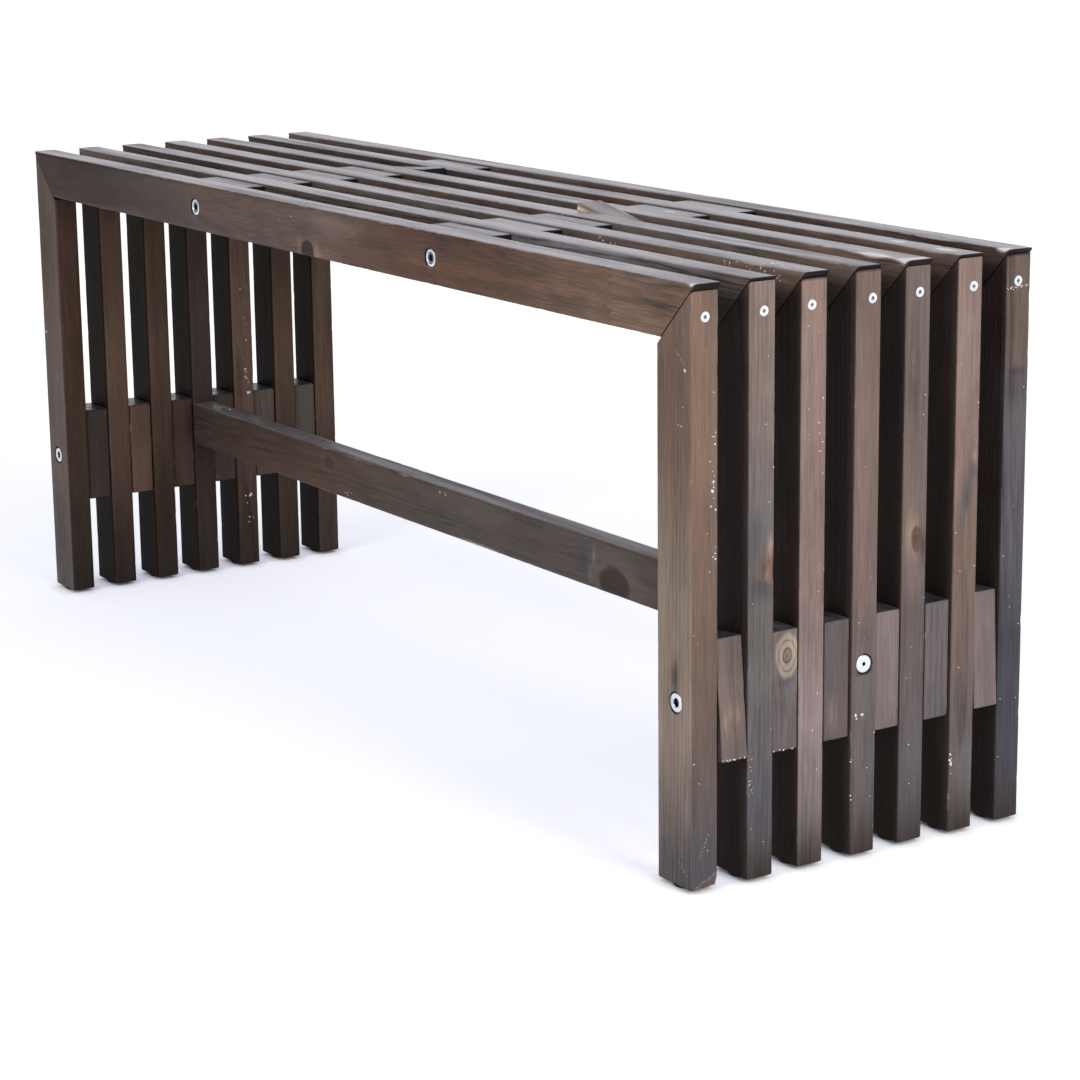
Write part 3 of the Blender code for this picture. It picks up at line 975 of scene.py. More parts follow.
# %% Lists of knots, marks, worn spots and chips
RED_HEART = (0.070, 0.043, 0.036)
DARK_HEART = (0.042, 0.026, 0.025)
BLACK_HEART = (0.030, 0.013, 0.010)
BROWN_HEART = (0.115, 0.072, 0.055)
PALE_HEART = (0.34, 0.278, 0.222)
# Place along and across the board, size, stretch, face, colour and strength of the rings
KNOTS = {
    "seat_rail_1": [(0.004, -0.0165, 0.0085, 1.3, "broad", BLACK_HEART, 0.5)],
    "stretcher": [
        (-0.234, 0.008, 0.006, 1.5, "broad", RED_HEART, 0.3),
        (0.254, -0.012, 0.014, 1.5, "broad", DARK_HEART, 0.2),
    ],
    "right_leg_5": [(0.015, -0.002, 0.005, 1.9, "narrow", BROWN_HEART, 0.6)],
    "right_leg_spacer_2": [(-0.0265, 0.002, 0.0105, 1.6, "narrow", PALE_HEART, 1.1)],
}
# Place, half length, half width, tone and strength
MARKS = {
    "seat_rail_1": [
        ((0.050, -0.156, 0.438), 0.045, 0.010, "drab", 0.5),
        ((-0.001, -0.156, 0.430), 0.014, 0.007, "smoke", 0.6),
        ((0.090, -0.156, 0.415), 0.055, 0.006, "rust", 0.25),
        ((0.020, -0.156, 0.413), 0.004, 0.006, "lilac", 0.6),
        ((-0.011, -0.156, 0.414), 0.003, 0.006, "lilac", 0.5),
        ((0.026, -0.156, 0.4090), 0.022, 0.006, "rust", 0.5),
        ((-0.073, -0.156, 0.434), 0.012, 0.006, "smoke", 0.5),
    ],
    "stretcher": [
        ((0.208, -0.012, 0.160), 0.010, 0.014, "ink", 0.95),
        ((0.210, -0.012, 0.158), 0.005, 0.010, "deep", 0.5),
        ((0.224, -0.012, 0.168), 0.002, 0.008, "lilac", 0.8),
        ((0.218, -0.012, 0.152), 0.002, 0.006, "lilac", 0.5),
        ((0.277, -0.012, 0.150), 0.010, 0.006, "russet", 0.6),
    ],
    "right_leg_1": [
        ((0.545, -0.156, 0.161), 0.014, 0.004, "cut", 0.75),
        ((0.549, -0.156, 0.018), 0.030, 0.020, "slate", 0.6),
        ((0.565, -0.151, 0.370), 0.110, 0.005, "rust", 0.3),
        ((0.560, -0.142, 0.012), 0.030, 0.016, "ink", 0.6),
    ],
    "right_leg_2": [
        ((0.568, -0.097, 0.223), 0.010, 0.013, "ink", 0.75),
        ((0.568, -0.102, 0.262), 0.020, 0.007, "ink", 0.6),
        ((0.568, -0.0880, 0.2535), 0.007, 0.0020, "fresh", 0.8),
        ((0.5675, -0.0935, 0.2390), 0.006, 0.0022, "smoke", 0.7),
        ((0.5675, -0.0890, 0.2330), 0.005, 0.0018, "fresh", 0.6),
    ],
    "left_leg_1": [
        ((-0.563, -0.156, 0.010), 0.010, 0.006, "tan", 0.5),
        ((-0.550, -0.156, 0.075), 0.030, 0.010, "ink", 0.5),
    ],
    "right_leg_5": [
        ((0.566, 0.044, 0.246), 0.016, 0.005, "tan", 0.6),
        ((0.566, 0.056, 0.234), 0.014, 0.004, "cut", 0.6),
        ((0.566, 0.049, 0.205), 0.020, 0.006, "rose", 0.2),
    ],
    "right_leg_6": [
        ((0.568, 0.1025, 0.286), 0.012, 0.0045, "slate", 0.8),
        ((0.568, 0.0965, 0.267), 0.013, 0.0045, "ink", 0.75),
        ((0.568, 0.0900, 0.249), 0.013, 0.0040, "slate", 0.7),
        ((0.568, 0.1035, 0.2965), 0.005, 0.003, "tan", 1.0),
    ],
    "right_leg_7": [
        ((0.567, 0.144, 0.3565), 0.003, 0.010, "soot", 0.6),
        ((0.567, 0.144, 0.343), 0.014, 0.018, "ink", 0.75),
    ],
    "right_leg_spacer_1": [
        ((0.5663, -0.1265, 0.127), 0.008, 0.0018, "tan", 0.9),
        ((0.5660, -0.1215, 0.134), 0.006, 0.0018, "tan", 0.6),
        ((0.5660, -0.115, 0.131), 0.006, 0.002, "tan", 0.8),
        ((0.5610, -0.118, 0.185), 0.020, 0.012, "smoke", 0.15),
        ((0.5660, -0.120, 0.105), 0.014, 0.020, "plum", 0.7),
    ],
    "right_leg_spacer_2": [
        ((0.565, -0.073, 0.1485), 0.004, 0.012, "ink", 0.5),
        ((0.565, -0.073, 0.120), 0.030, 0.008, "slate", 0.1),
    ],
    "right_leg_spacer_3": [((0.565, -0.0285, 0.115), 0.014, 0.004, "rose", 0.5)],
    LOOSE_SPACER: [((0.1827, 0.0128, 0.4519), 0.050, 0.0022, "rust", 1.0)],
}
FOOT_DARKENING = (0.031, 0.030, "peat", 0.85)
FOOT_DARKENING_OUTWARD = 0.02
# Right hand legs 2 to 7 are darker at the foot, near the floor.
for number in range(2, FRAME_COUNT + 1):
    foot = node_centre(f"right_leg_{number}")
    dark_patch = ((foot.x + FOOT_DARKENING_OUTWARD, foot.y, 0.0), *FOOT_DARKENING)
    MARKS.setdefault(f"right_leg_{number}", []).append(dark_patch)
# Place, half length, half width and strength
WORN_SPOTS = {
    "seat_rail_1": [
        # The first spot, on the tip at the right hand end, is a painted highlight, chalky pale where light
        # catches the corner.
        ((0.5665, -0.1545, 0.450), 0.0035, 0.003, 2.3), ((0.10, -0.155, 0.449), 0.20, 0.004, 0.35),
    ],
    "seat_rail_3": [((0.515, -0.059, 0.449), 0.030, 0.004, 0.6)],
    "seat_rail_4": [((0.545, -0.006, 0.450), 0.016, 0.006, 0.8)],
    # The chalky spots near the right hand ends of rails 5 and 6 are partly worn timber, partly painted glare.
    "seat_rail_5": [
        ((0.523, 0.040, 0.450), 0.019, 0.005, 1.7), ((0.566, 0.048, 0.450), 0.012, 0.016, 2.3),
        ((0.541, 0.040, 0.450), 0.015, 0.003, 0.9), ((0.475, 0.038, 0.450), 0.024, 0.002, 1.0),
    ],
    "seat_rail_6": [
        ((0.540, 0.095, 0.450), 0.018, 0.007, 2.1), ((0.484, 0.096, 0.450), 0.012, 0.006, 2.3),
    ],
    "seat_rail_7": [
        ((0.564, 0.1350, 0.450), 0.010, 0.005, 1.7), ((0.480, 0.133, 0.450), 0.040, 0.002, 0.7),
    ],
    "right_leg_1": [((0.5645, -0.155, 0.020), 0.020, 0.003, 0.3)],
    "right_leg_2": [
        ((0.5675, -0.0865, 0.257), 0.006, 0.0015, 0.7), ((0.567, -0.107, 0.080), 0.016, 0.0022, 0.5),
    ],
    "right_leg_6": [((0.568, 0.1045, 0.296), 0.006, 0.002, 0.4)],
    "right_leg_spacer_1": [((0.565, -0.121, 0.0968), 0.003, 0.014, 0.6)],
    "right_seat_spacer_5": [((0.216, 0.071, 0.450), 0.014, 0.004, 2.6)],
    "stretcher": [((0.040, -0.0118, 0.1412), 0.075, 0.004, 0.8)],
}
JOINTS = {"seat_rail_1": 0.463}
CHIPS = {
    "right_leg_1": {"place": (0.5634, -0.1374, 0.0068), "faces": (1.0, 0.145, -0.341),
                    "half_along": 0.012, "half_across": 0.016, "tone": "rust", "rim": "fresh"},
    "right_leg_2": {"place": (0.5675, -0.0920, 0.2415), "faces": (1.0, 0.139, -0.082),
                    "half_along": 0.0165, "half_across": 0.020, "tone": "torn", "rim": "torn"},
}
FINE_BOARDS = [*CHIPS, "right_leg_5", "right_leg_6", "right_leg_spacer_1", "right_leg_spacer_2", LOOSE_SPACER]
print("boards with set knots:", sorted(KNOTS), "with marks:", len(MARKS), "with worn spots:", len(WORN_SPOTS))

# %% [markdown]
# ## Grain and stain on the mesh
# After a board is cut, its points get the attributes that the finishes read: the place in the
# log, the place round the nearest knot, the nearness of an edge and the stain's colour. Grain
# lines are bent round each knot, as they grow in a tree.

# %% Attributes for one board
NO_JOINT = -1.0
CHIP_TOUCH = 0.00002
CHIP_RIM = 0.0004
# Painted shade on the faces in the gaps: they grow darker towards their lower edge.
GAP_SHADE_LOSS = 0.7
GAP_SHADE_START = 0.42
GAP_SHADE_RUN = 0.7
LOG_REACH = (0.030, 0.075)
LOG_STEP = 3.7
EDGE_REACH = 0.004
END_WEIGHT = 1.6
FACE_SHARPNESS = 6.0
BEND_ALONG = 3.2
BEND_ASIDE = 2.0
BEND_STRENGTH = 0.8
ATTRIBUTE_KEYS = {"FLOAT_VECTOR": "vector", "FLOAT_COLOR": "color", "FLOAT": "value"}


def along_board(row, share):
    """Colours of a row of named tones, blended along the board from start to end."""
    table = np.array([TONES[name] for name in row.split()])
    stops = np.linspace(0.0, 1.0, len(table))
    return np.stack([np.interp(share, stops, table[:, channel]) for channel in range(3)], axis=1)


def store(mesh, name, kind, values):
    layer = mesh.attributes.new(name, kind, "POINT")
    layer.data.foreach_set(ATTRIBUTE_KEYS[kind], np.ascontiguousarray(values, dtype=np.float32).ravel())


def nearness(points, fibres, place, half_length, half_width):
    """One at a place on the board, falling away along and across the fibres."""
    offset = points - np.array(place)
    run = offset @ fibres
    aside = np.linalg.norm(offset - np.outer(run, fibres), axis=1)
    return np.exp(-((run / half_length) ** 2) - (aside / half_width) ** 2)


def read_vectors(items, key):
    values = np.empty(len(items) * 3, np.float32)
    items.foreach_get(key, values)
    return values.reshape(-1, 3)


def face_weights(facing, forward):
    """How far each point looks the way of each face."""
    front = -facing[:, 1] * forward
    amounts = {
        "outer": facing[:, 2], "inner": -facing[:, 2], "front": front, "rear": -front,
        "ends": np.abs(facing[:, 0]) * END_WEIGHT,
    }
    return {face: np.clip(amount, 0, 1) for face, amount in amounts.items()}


def plain_stain(board, local, half, weights):
    """Colours of the faces, blended where they meet. Faces in the gaps are darker lower down, as painted
    shade.
    """
    share = np.clip(local[:, 0] / (2 * half[0]) + 0.5, 0.0, 1.0)
    # Painted shade, strongest at the lower edge of a face in a gap.
    deep = np.clip((GAP_SHADE_START - local[:, 2] / (2 * half[2])) / GAP_SHADE_RUN, 0.0, 1.0)
    painted_gap_shade = 1.0 - GAP_SHADE_LOSS * deep ** 2 * (3.0 - 2.0 * deep)
    stain = np.zeros((len(local), 3))
    total = np.full((len(local), 1), 1e-9)
    for face, weight in weights.items():
        strong = (weight ** FACE_SHARPNESS)[:, None]
        colour = along_board(board["faces"][face], share)
        if face in board["sheltered"]:
            colour = colour * painted_gap_shade[:, None]
        stain += strong * colour
        total += strong
    stain /= total
    return stain


def mark_stain(stain, board, points, fibres, room):
    """Colour the chips and then lay the marks over the stain."""
    for cutter, chip in board["chips"]:
        skin = BVHTree.FromPolygons([v.co for v in cutter.vertices], [p.vertices for p in cutter.polygons])
        broken = np.array([skin.find_nearest(Vector(point))[3] < CHIP_TOUCH for point in points])
        stain[broken] = TONES[chip["tone"]]
        stain[broken & (room[:, 0] < CHIP_RIM)] = TONES[chip["rim"]]
    for place, half_length, half_width, tone, strength in MARKS.get(board["node"], []):
        amount = strength * nearness(points, fibres, place, half_length, half_width)[:, None]
        stain += amount * (np.array(TONES[tone]) - stain)


def bent_grain(board, local):
    """Place in the log, place round the nearest knot, and that knot's colour and rings."""
    rng = np.random.default_rng(board["seed"])
    angle = rng.uniform(0.0, math.tau)
    distance = rng.uniform(*LOG_REACH)
    count = len(local)
    from_heart = (board["seed"] * LOG_STEP, distance * math.cos(angle), distance * math.sin(angle))
    grain = local + np.array(from_heart)
    knot = np.tile(np.array(FAR_FROM_KNOTS), (count, 1))
    heart = np.tile(np.array((*RED_HEART, 0.0)), (count, 1))
    for along, across, size, stretch, face, colour, ring_strength in KNOTS.get(board["node"], []):
        axis = 2 if face == "broad" else 1
        run = local[:, 0] - along
        aside = local[:, axis] - across
        place = np.stack([run / stretch, aside, np.zeros(count)], axis=1) / size
        nearer = np.linalg.norm(place, axis=1) < np.linalg.norm(knot, axis=1)
        knot[nearer] = place[nearer]
        heart[nearer] = (*colour, ring_strength)
        bend = np.exp(-((run / (BEND_ALONG * size)) ** 2)) * np.exp(-np.abs(aside) / (BEND_ASIDE * size))
        push = np.sign(aside) * size * BEND_STRENGTH * bend
        grain[:, axis] -= push * np.clip(np.abs(aside) / size, 0, 1)
    return grain, knot, heart


def lay_grain(mesh, board):
    """Store the attributes of one board, worked out in the board's own directions."""
    back = np.array(board["place"].inverted())
    fibres = back[0, :3]
    points = read_vectors(mesh.vertices, "co")
    local = points @ back[:3, :3].T + back[:3, 3]
    facing = read_vectors(mesh.vertex_normals, "vector") @ back[:3, :3].T
    half = np.array(board["size"]) / 2
    room = np.sort(half - np.abs(local), axis=1)
    weights = face_weights(facing, board["forward"])
    stain = plain_stain(board, local, half, weights)
    mark_stain(stain, board, points, fibres, room)
    grain, knot, heart = bent_grain(board, local)
    edge = np.clip(1.0 - room[:, 1] / EDGE_REACH, 0.0, 1.0)
    for place, half_length, half_width, strength in WORN_SPOTS.get(board["node"], []):
        edge += strength * nearness(points, fibres, place, half_length, half_width)
    edge *= 1.0 - weights["ends"]
    joint = np.full(len(points), NO_JOINT)
    if board["node"] in JOINTS:
        joint = local[:, 0] - JOINTS[board["node"]]
    store(mesh, "grain", "FLOAT_VECTOR", grain)
    store(mesh, "knot", "FLOAT_VECTOR", knot)
    store(mesh, "edge", "FLOAT", edge)
    store(mesh, "joint", "FLOAT", joint)
    store(mesh, "heart", "FLOAT_COLOR", heart)
    store(mesh, "stain", "FLOAT_COLOR", np.hstack([stain, np.ones((len(points), 1))]))


print("attributes:", "grain, knot, edge, joint, heart and stain")

# %% [markdown]
# ## Stack bores
# Each bolt runs through the whole stack, from a recess for its head in the front frame to a
# recess for its cap nut in the rear one. One stepped cutter serves every board on the line.

# %% Cutters for the bolt lines and the stretcher's screws
HEAD_RADIUS = 0.00775
SCREW_HEAD_RADIUS = 0.00725
HEAD_RECESS = 0.0027
RECESS_PLAY = 0.0004
BORE_RADIUS = 0.0033
SLEEVE_BORE_RADIUS = 0.0048
SLEEVE_BORE_LENGTH = 0.0167
SCREW_BORE_RADIUS = 0.0028
SCREW_BORE_LENGTH = 0.089
OVERCUT = 0.002
CUTTER_SEGMENTS = 40
BOLT_LINES = ["left_seat", "right_seat", "left_leg", "right_leg"]


def head_cutter(head_radius, bore_radius):
    """Half profile of a recess for a head, down to the start of its bore."""
    wide = head_radius + RECESS_PLAY
    return [(0.0, OVERCUT), (wide, OVERCUT), (wide, -HEAD_RECESS), (bore_radius, -HEAD_RECESS)]


def stack_cutter(line):
    middle = node_centre(f"{line}_bolt")
    wide = HEAD_RADIUS + RECESS_PLAY
    sleeve_start = SLEEVE_BORE_LENGTH - stack_depth
    nut_seat = HEAD_RECESS - stack_depth
    points = head_cutter(HEAD_RADIUS, BORE_RADIUS) + [
        (BORE_RADIUS, sleeve_start), (SLEEVE_BORE_RADIUS, sleeve_start),
        (SLEEVE_BORE_RADIUS, nut_seat), (wide, nut_seat),
        (wide, -stack_depth - OVERCUT), (0.0, -stack_depth - OVERCUT),
    ]
    mesh = turned(f"{line} cutter", points, segments=CUTTER_SEGMENTS)
    mesh.transform(aimed((middle.x, stack_front, middle.z), (0, -1, 0)))
    return mesh


def screw_cutter(side):
    middle = node_centre(f"{side}_stretcher_screw")
    outside = outside_of(side, f"{side}_leg_{FRAME_COUNT // 2 + 1}")
    points = head_cutter(SCREW_HEAD_RADIUS, SCREW_BORE_RADIUS)
    points += [(SCREW_BORE_RADIUS, -SCREW_BORE_LENGTH), (0.0, -SCREW_BORE_LENGTH)]
    mesh = turned(f"{side} screw cutter", points, segments=CUTTER_SEGMENTS)
    mesh.transform(aimed((outside, middle.y, middle.z), (SIDES[side], 0, 0)))
    return mesh


BORES = {line: stack_cutter(line) for line in BOLT_LINES}
SCREW_BORES = {side: screw_cutter(side) for side in SIDES}
print("cutters:", len(BORES) + len(SCREW_BORES))

# %% [markdown]
# ## Chips
# Where a corner has been knocked hard, a piece has split off along the fibres and left a rough
# facet with a pale rim. The cutter is a block with one rough side, which takes off everything
# past that side.

# %% Cutter for a chipped corner
CHIP_CUTS = 15
CHIP_REACH = 0.015
CHIP_ROUGHNESS = 0.0006
CHIP_SCOOP = 0.019
SCOOP_START = 0.6
SPLINTER_SCALE = Vector((110.0, 420.0, 90.0))


def chip_cutter(board_place, chip):
    place = chip["place"]
    normal = Vector(chip["faces"]).normalized()
    fibres = board_place.to_3x3() @ Vector((1.0, 0.0, 0.0))
    along = (fibres - fibres.dot(normal) * normal).normalized()
    turn = Matrix((along, normal.cross(along), normal)).transposed().to_4x4()
    bm = bmesh.new()
    bmesh.ops.create_cube(bm, size=2.0)
    bmesh.ops.subdivide_edges(bm, edges=bm.edges[:], cuts=CHIP_CUTS, use_grid_fill=True)
    for vert in bm.verts:
        spot = Vector((vert.co.x * chip["half_along"], vert.co.y * chip["half_across"], 0.0))
        splinter = value_noise.noise(Vector((spot.x, spot.y, place[2])) * SPLINTER_SCALE)
        scoop = CHIP_SCOOP * max(0.0, abs(vert.co.x) - SCOOP_START) ** 2
        height = (vert.co.z + 1.0) / 2.0 * CHIP_REACH
        vert.co = (spot.x, spot.y, height if height > 1e-6 else splinter * CHIP_ROUGHNESS + scoop)
    mesh = plain_mesh("chip", bm)
    mesh.transform(Matrix.Translation(place) @ turn)
    return mesh


print("chipped boards:", sorted(CHIPS))

# %% [markdown]
# ## Boards
# Rails, legs, blocks and the stretcher are listed with their places, cuts, bores and tones, and
# then made one by one. Each new board replaces the CAD node of the same name.

# %% List and make every board
LEG_TURN = {
    "right": Matrix(((0, 0, 1, 0), (0, -1, 0, 0), (1, 0, 0, 0), (0, 0, 0, 1))),
    "left": Matrix(((0, 0, -1, 0), (0, 1, 0, 0), (1, 0, 0, 0), (0, 0, 0, 1))),
}
BOARDS = []


def list_board(node, slot, size, place, faces, bores, **more):
    board = {"node": node, "slot": slot, "size": size, "place": place, "faces": faces, "bores": bores}
    board.update(start_cut=0.0, end_cut=0.0, forward=1.0, edge=EDGE_RADIUS, sheltered=[])
    board.update(more, seed=len(BOARDS) + 1)
    BOARDS.append(board)


def list_rail(index):
    node = f"seat_rail_{index + 1}"
    low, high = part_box(node)
    size = (high.x - low.x, timber_thickness, timber_width)
    # Fronts and rears that face into a gap get the painted shade.
    sheltered = ["front"] * (index > 0) + ["rear"] * (index < FRAME_COUNT - 1)
    list_board(node, "rail_wood", size, Matrix.Translation(node_centre(node)), rail_faces(index),
               [BORES["left_seat"], BORES["right_seat"]],
               start_cut=timber_width, end_cut=timber_width, sheltered=sheltered)


def list_leg(side, index):
    node = f"{side}_leg_{index + 1}"
    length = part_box(node)[1].z - GLIDE_HEIGHT
    middle = node_centre(node)
    middle.z = GLIDE_HEIGHT + length / 2
    bores = [BORES[f"{side}_leg"]]
    if index == FRAME_COUNT // 2:
        bores.append(SCREW_BORES[side])
    list_board(node, "leg_wood", (length, timber_thickness, timber_width),
               Matrix.Translation(middle) @ LEG_TURN[side], leg_faces(side, index), bores,
               end_cut=timber_width + MITRE_OPENING, forward=float(-SIDES[side]))


def list_spacer(side, row, gap):
    node = f"{side}_{row}_spacer_{gap}"
    angle = math.radians(SPACER_TURNS.get(node, 0.0) + (90.0 if row == "leg" else 0.0))
    place = Matrix.Translation(node_centre(node)) @ Matrix.Rotation(angle, 4, "Y")
    faces = spacer_faces(side, row, gap)
    if node == LOOSE_SPACER:
        faces.update(front="bare", rear="bare", ends="drab")
    bores = [BORES[f"{side}_{row}"]]
    list_board(node, "spacer_wood", block_size, place, faces, bores, edge=SPACER_EDGE_RADIUS)


def list_stretcher():
    low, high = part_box("stretcher")
    size = (high.x - low.x, timber_thickness, timber_width)
    place = Matrix.Translation(node_centre("stretcher"))
    list_board("stretcher", "stretcher_wood", size, place, STRETCHER_FACES, list(SCREW_BORES.values()))


def make_board(board):
    name = "board_" + board["node"]
    finish = FINISH[board["slot"]]
    length, thickness, width = board["size"]
    mesh = run_tree(WORN_BOARD, name, {
        "Length": length, "Thickness": thickness, "Width": width, "Edge Radius": board["edge"],
        "Start Cut": board["start_cut"], "End Cut": board["end_cut"],
        "Cut Reach": min(MITRE_REACH, length / 3), "Row Spacing": ROW_SPACING,
        "Fineness": 2 if board["node"] in FINE_BOARDS else 1,
        "Knock Depth": KNOCK_DEPTH, "Seed": float(board["seed"]), "Finish": finish,
    })
    mesh.transform(board["place"])
    chips = [CHIPS[board["node"]]] if board["node"] in CHIPS else []
    board["chips"] = [(chip_cutter(board["place"], chip), chip) for chip in chips]
    cutters = [cutter.copy() for cutter in board["bores"]]
    mesh = drilled(mesh, cutters + [cutter for cutter, _ in board["chips"]], finish)
    lay_grain(mesh, board)
    return stand_in(name, mesh, board["node"])


for index in range(FRAME_COUNT):
    list_rail(index)
for side in SIDES:
    for index in range(FRAME_COUNT):
        list_leg(side, index)
for side in SIDES:
    for row in ("seat", "leg"):
        for gap in range(1, FRAME_COUNT):
            list_spacer(side, row, gap)
list_stretcher()
board_pieces = {board["node"]: make_board(board) for board in BOARDS}
print("boards:", len(board_pieces), "faces:", sum(len(p.data.polygons) for p in board_pieces.values()))

# %% [markdown]
# ## Zinc plated fasteners
# The bolt heads are flat and bright, with a rounded rim and a six sided key socket that looks
# dark. Each is turned with its shank and then the socket is cut. The socket, the shallow dish
# round it and the screws' cross recesses are darkened in the colour as painted shade. Grey bloom
# and fine swirls keep the plating from looking like a mirror.

# %% Zinc finish and turned fasteners
SOCKET_ACROSS_FLATS = 0.0058
SOCKET_DEPTH = 0.0017
SCREW_SOCKET_ACROSS_FLATS = 0.0030
DISH_RADIUS = {"seat": 0.0053, "leg": 0.0038}
DISH_DEPTH = 0.0006
DISH_SLOPE = 0.0006
RIM_STEPS = 5
RIM_ROUNDING = 0.0013
HEAD_THICKNESS = 0.0020
SHANK_RADIUS = 0.003
SHANK_TIP = (0.002, 0.001)
SLEEVE_RADII = (0.0045, 0.0033)
SLEEVE_BOTTOM = 0.0045
SCREW_SHANK_RADIUS = 0.0025
SCREW_TIP = (0.0006, 0.006)
SCREW_FLAT = 0.003
SHADE_FROM = 0.0003
FULL_SHADE_FROM = 0.0009
HALF_SHADE = 0.75
ZINC_DULL = (0.52, 0.57, 0.64)
ZINC_BRIGHT = (0.77, 0.81, 0.87)
ZINC_GRIME = (0.30, 0.28, 0.27)
# Painted shade in the sockets, dishes and driver recesses of the heads.
ZINC_SHADE = (0.012, 0.014, 0.024)
ZINC_ROUGHNESS = 0.2
BLOOM_NOISE = (420.0, 3.0, 0.6)
BLOOM_ROUGHNESS = 0.22
GRIME_FINENESS = 160.0
GRIME_FROM = (0.52, 0.75)
GRIME_COVER = 0.30
GRIME_ROUGHNESS = 0.25
SWIRL_FINENESS = 2600.0
SWIRL_BUMP = (0.3, 0.0001)


def zinc_plating():
    material, tree, surface = new_material("zinc plating")
    here = object_place(tree)
    bloom = noise(here, *BLOOM_NOISE)
    dark_patch = eased(noise(here, GRIME_FINENESS), *GRIME_FROM)
    soiled = mixed(dark_patch * GRIME_COVER, mixed(bloom, ZINC_DULL, ZINC_BRIGHT), ZINC_GRIME)
    feed(surface, {
        "Base Color": mixed(attribute(tree, "sunk", "Fac"), soiled, ZINC_SHADE),
        "Roughness": bloom * BLOOM_ROUGHNESS + ZINC_ROUGHNESS + dark_patch * GRIME_ROUGHNESS,
        "Metallic": 1.0,
        "Normal": bumped(noise(here, SWIRL_FINENESS), *SWIRL_BUMP),
    })
    return material


def rounded_rim(radius):
    """Head outline from its flat top round the rim to its underside."""
    points = []
    for step in range(RIM_STEPS + 1):
        angle = math.pi / 2 * step / RIM_STEPS
        across = radius - RIM_ROUNDING + RIM_ROUNDING * math.sin(angle)
        points.append((across, -RIM_ROUNDING + RIM_ROUNDING * math.cos(angle)))
    points.append((radius, -HEAD_THICKNESS))
    return points


def hex_socket(across_flats, depth):
    bm = bmesh.new()
    corner = across_flats / math.sqrt(3)
    bmesh.ops.create_cone(bm, cap_ends=True, segments=6, radius1=corner, radius2=corner, depth=2 * depth)
    return plain_mesh("socket", bm)


def darken_recess(mesh, radius, shade):
    """Mark the points inside a head's recess, where the plating's colour is darkened as painted shade."""
    sunk = []
    for vert in mesh.vertices:
        inside = math.hypot(vert.co.x, vert.co.y) < radius
        depth = (HALF_SHADE if vert.co.z > -FULL_SHADE_FROM else 1.0) if vert.co.z < -SHADE_FROM else 0.0
        sunk.append(shade * depth * inside)
    store(mesh, "sunk", "FLOAT", sunk)
    return mesh


def add_fastener(node, points, place, direction, across_flats=SOCKET_ACROSS_FLATS):
    mesh = turned(node + " turned", points, ZINC)
    mesh = drilled(mesh, [hex_socket(across_flats, SOCKET_DEPTH)], ZINC)
    darken_recess(mesh, max(DISH_RADIUS.values()), 1.0)
    mesh.transform(aimed(place, direction))
    stand_in("turned_" + node, mesh, node)


def shank(radius, tip_radius, tip_length, length):
    """Half profile of a plain shank under a head, with a tapered tip."""
    return [(radius, -HEAD_THICKNESS), (radius, -length + tip_length), (tip_radius, -length), (0.0, -length)]


def add_bolt(line):
    """A bolt at the front of the stack and its cap nut at the rear."""
    low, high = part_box(f"{line}_bolt")
    nut_low, nut_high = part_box(f"{line}_nut")
    middle = (low + high) / 2
    dish = DISH_RADIUS[line.split("_")[1]]
    head = [(0.0, -DISH_DEPTH), (dish - DISH_SLOPE, -DISH_DEPTH), (dish, 0.0)] + rounded_rim(HEAD_RADIUS)
    bolt = head + shank(SHANK_RADIUS, *SHANK_TIP, high.y - low.y)
    add_fastener(f"{line}_bolt", bolt, (middle.x, low.y, middle.z), (0, -1, 0))
    reach = nut_high.y - nut_low.y
    outer, inner = SLEEVE_RADII
    sleeve = [(outer, -HEAD_THICKNESS), (outer, -reach), (inner, -reach)]
    sleeve += [(inner, -SLEEVE_BOTTOM), (0.0, -SLEEVE_BOTTOM)]
    add_fastener(f"{line}_nut", head + sleeve, (middle.x, nut_high.y, middle.z), (0, 1, 0))


def add_screw(side):
    node = f"{side}_stretcher_screw"
    low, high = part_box(node)
    middle = (low + high) / 2
    points = [(0.0, 0.0), (SCREW_FLAT, 0.0)] + rounded_rim(SCREW_HEAD_RADIUS)
    points += shank(SCREW_SHANK_RADIUS, *SCREW_TIP, high.x - low.x)
    place = (outside_of(side, node), middle.y, middle.z)
    add_fastener(node, points, place, (SIDES[side], 0, 0), SCREW_SOCKET_ACROSS_FLATS)


ZINC = zinc_plating()
for line in BOLT_LINES:
    add_bolt(line)
for side in SIDES:
    add_screw(side)
print("turned fasteners:", 2 * len(BOLT_LINES) + len(SIDES))

# %% [markdown]
# ## Repeated fixings
# Every leg has one small countersunk screw through its mitre and one black glide under its
# foot. The shape is made once, and a tree sets it at every marked point, turned to face the
# way that the point says.

# %% Geometry Nodes tree that sets a fixing at each point
MITRE_SCREW_HEIGHT = 0.4255
MITRE_SCREW_RADIUS = 0.0041
MITRE_SCREW_PROUD = 0.0002
MITRE_SCREW_ASIDE = [0.0002, 0.0014, -0.0023, 0.0035, 0.0013, 0.0032, -0.0006]
MITRE_SCREW_SEGMENTS = 32
DRIVER_SLOT = {"width": 0.0014, "reach": 0.0046, "depth": 0.0009}
DRIVER_TAPER = 0.45
DRIVER_SHADE = (0.0030, 0.25)
SPIN_SEED = 7


def named_attribute(tree, name, kind):
    return wire(tree, "GeometryNodeInputNamedAttribute", {"Name": name}, data_type=kind)


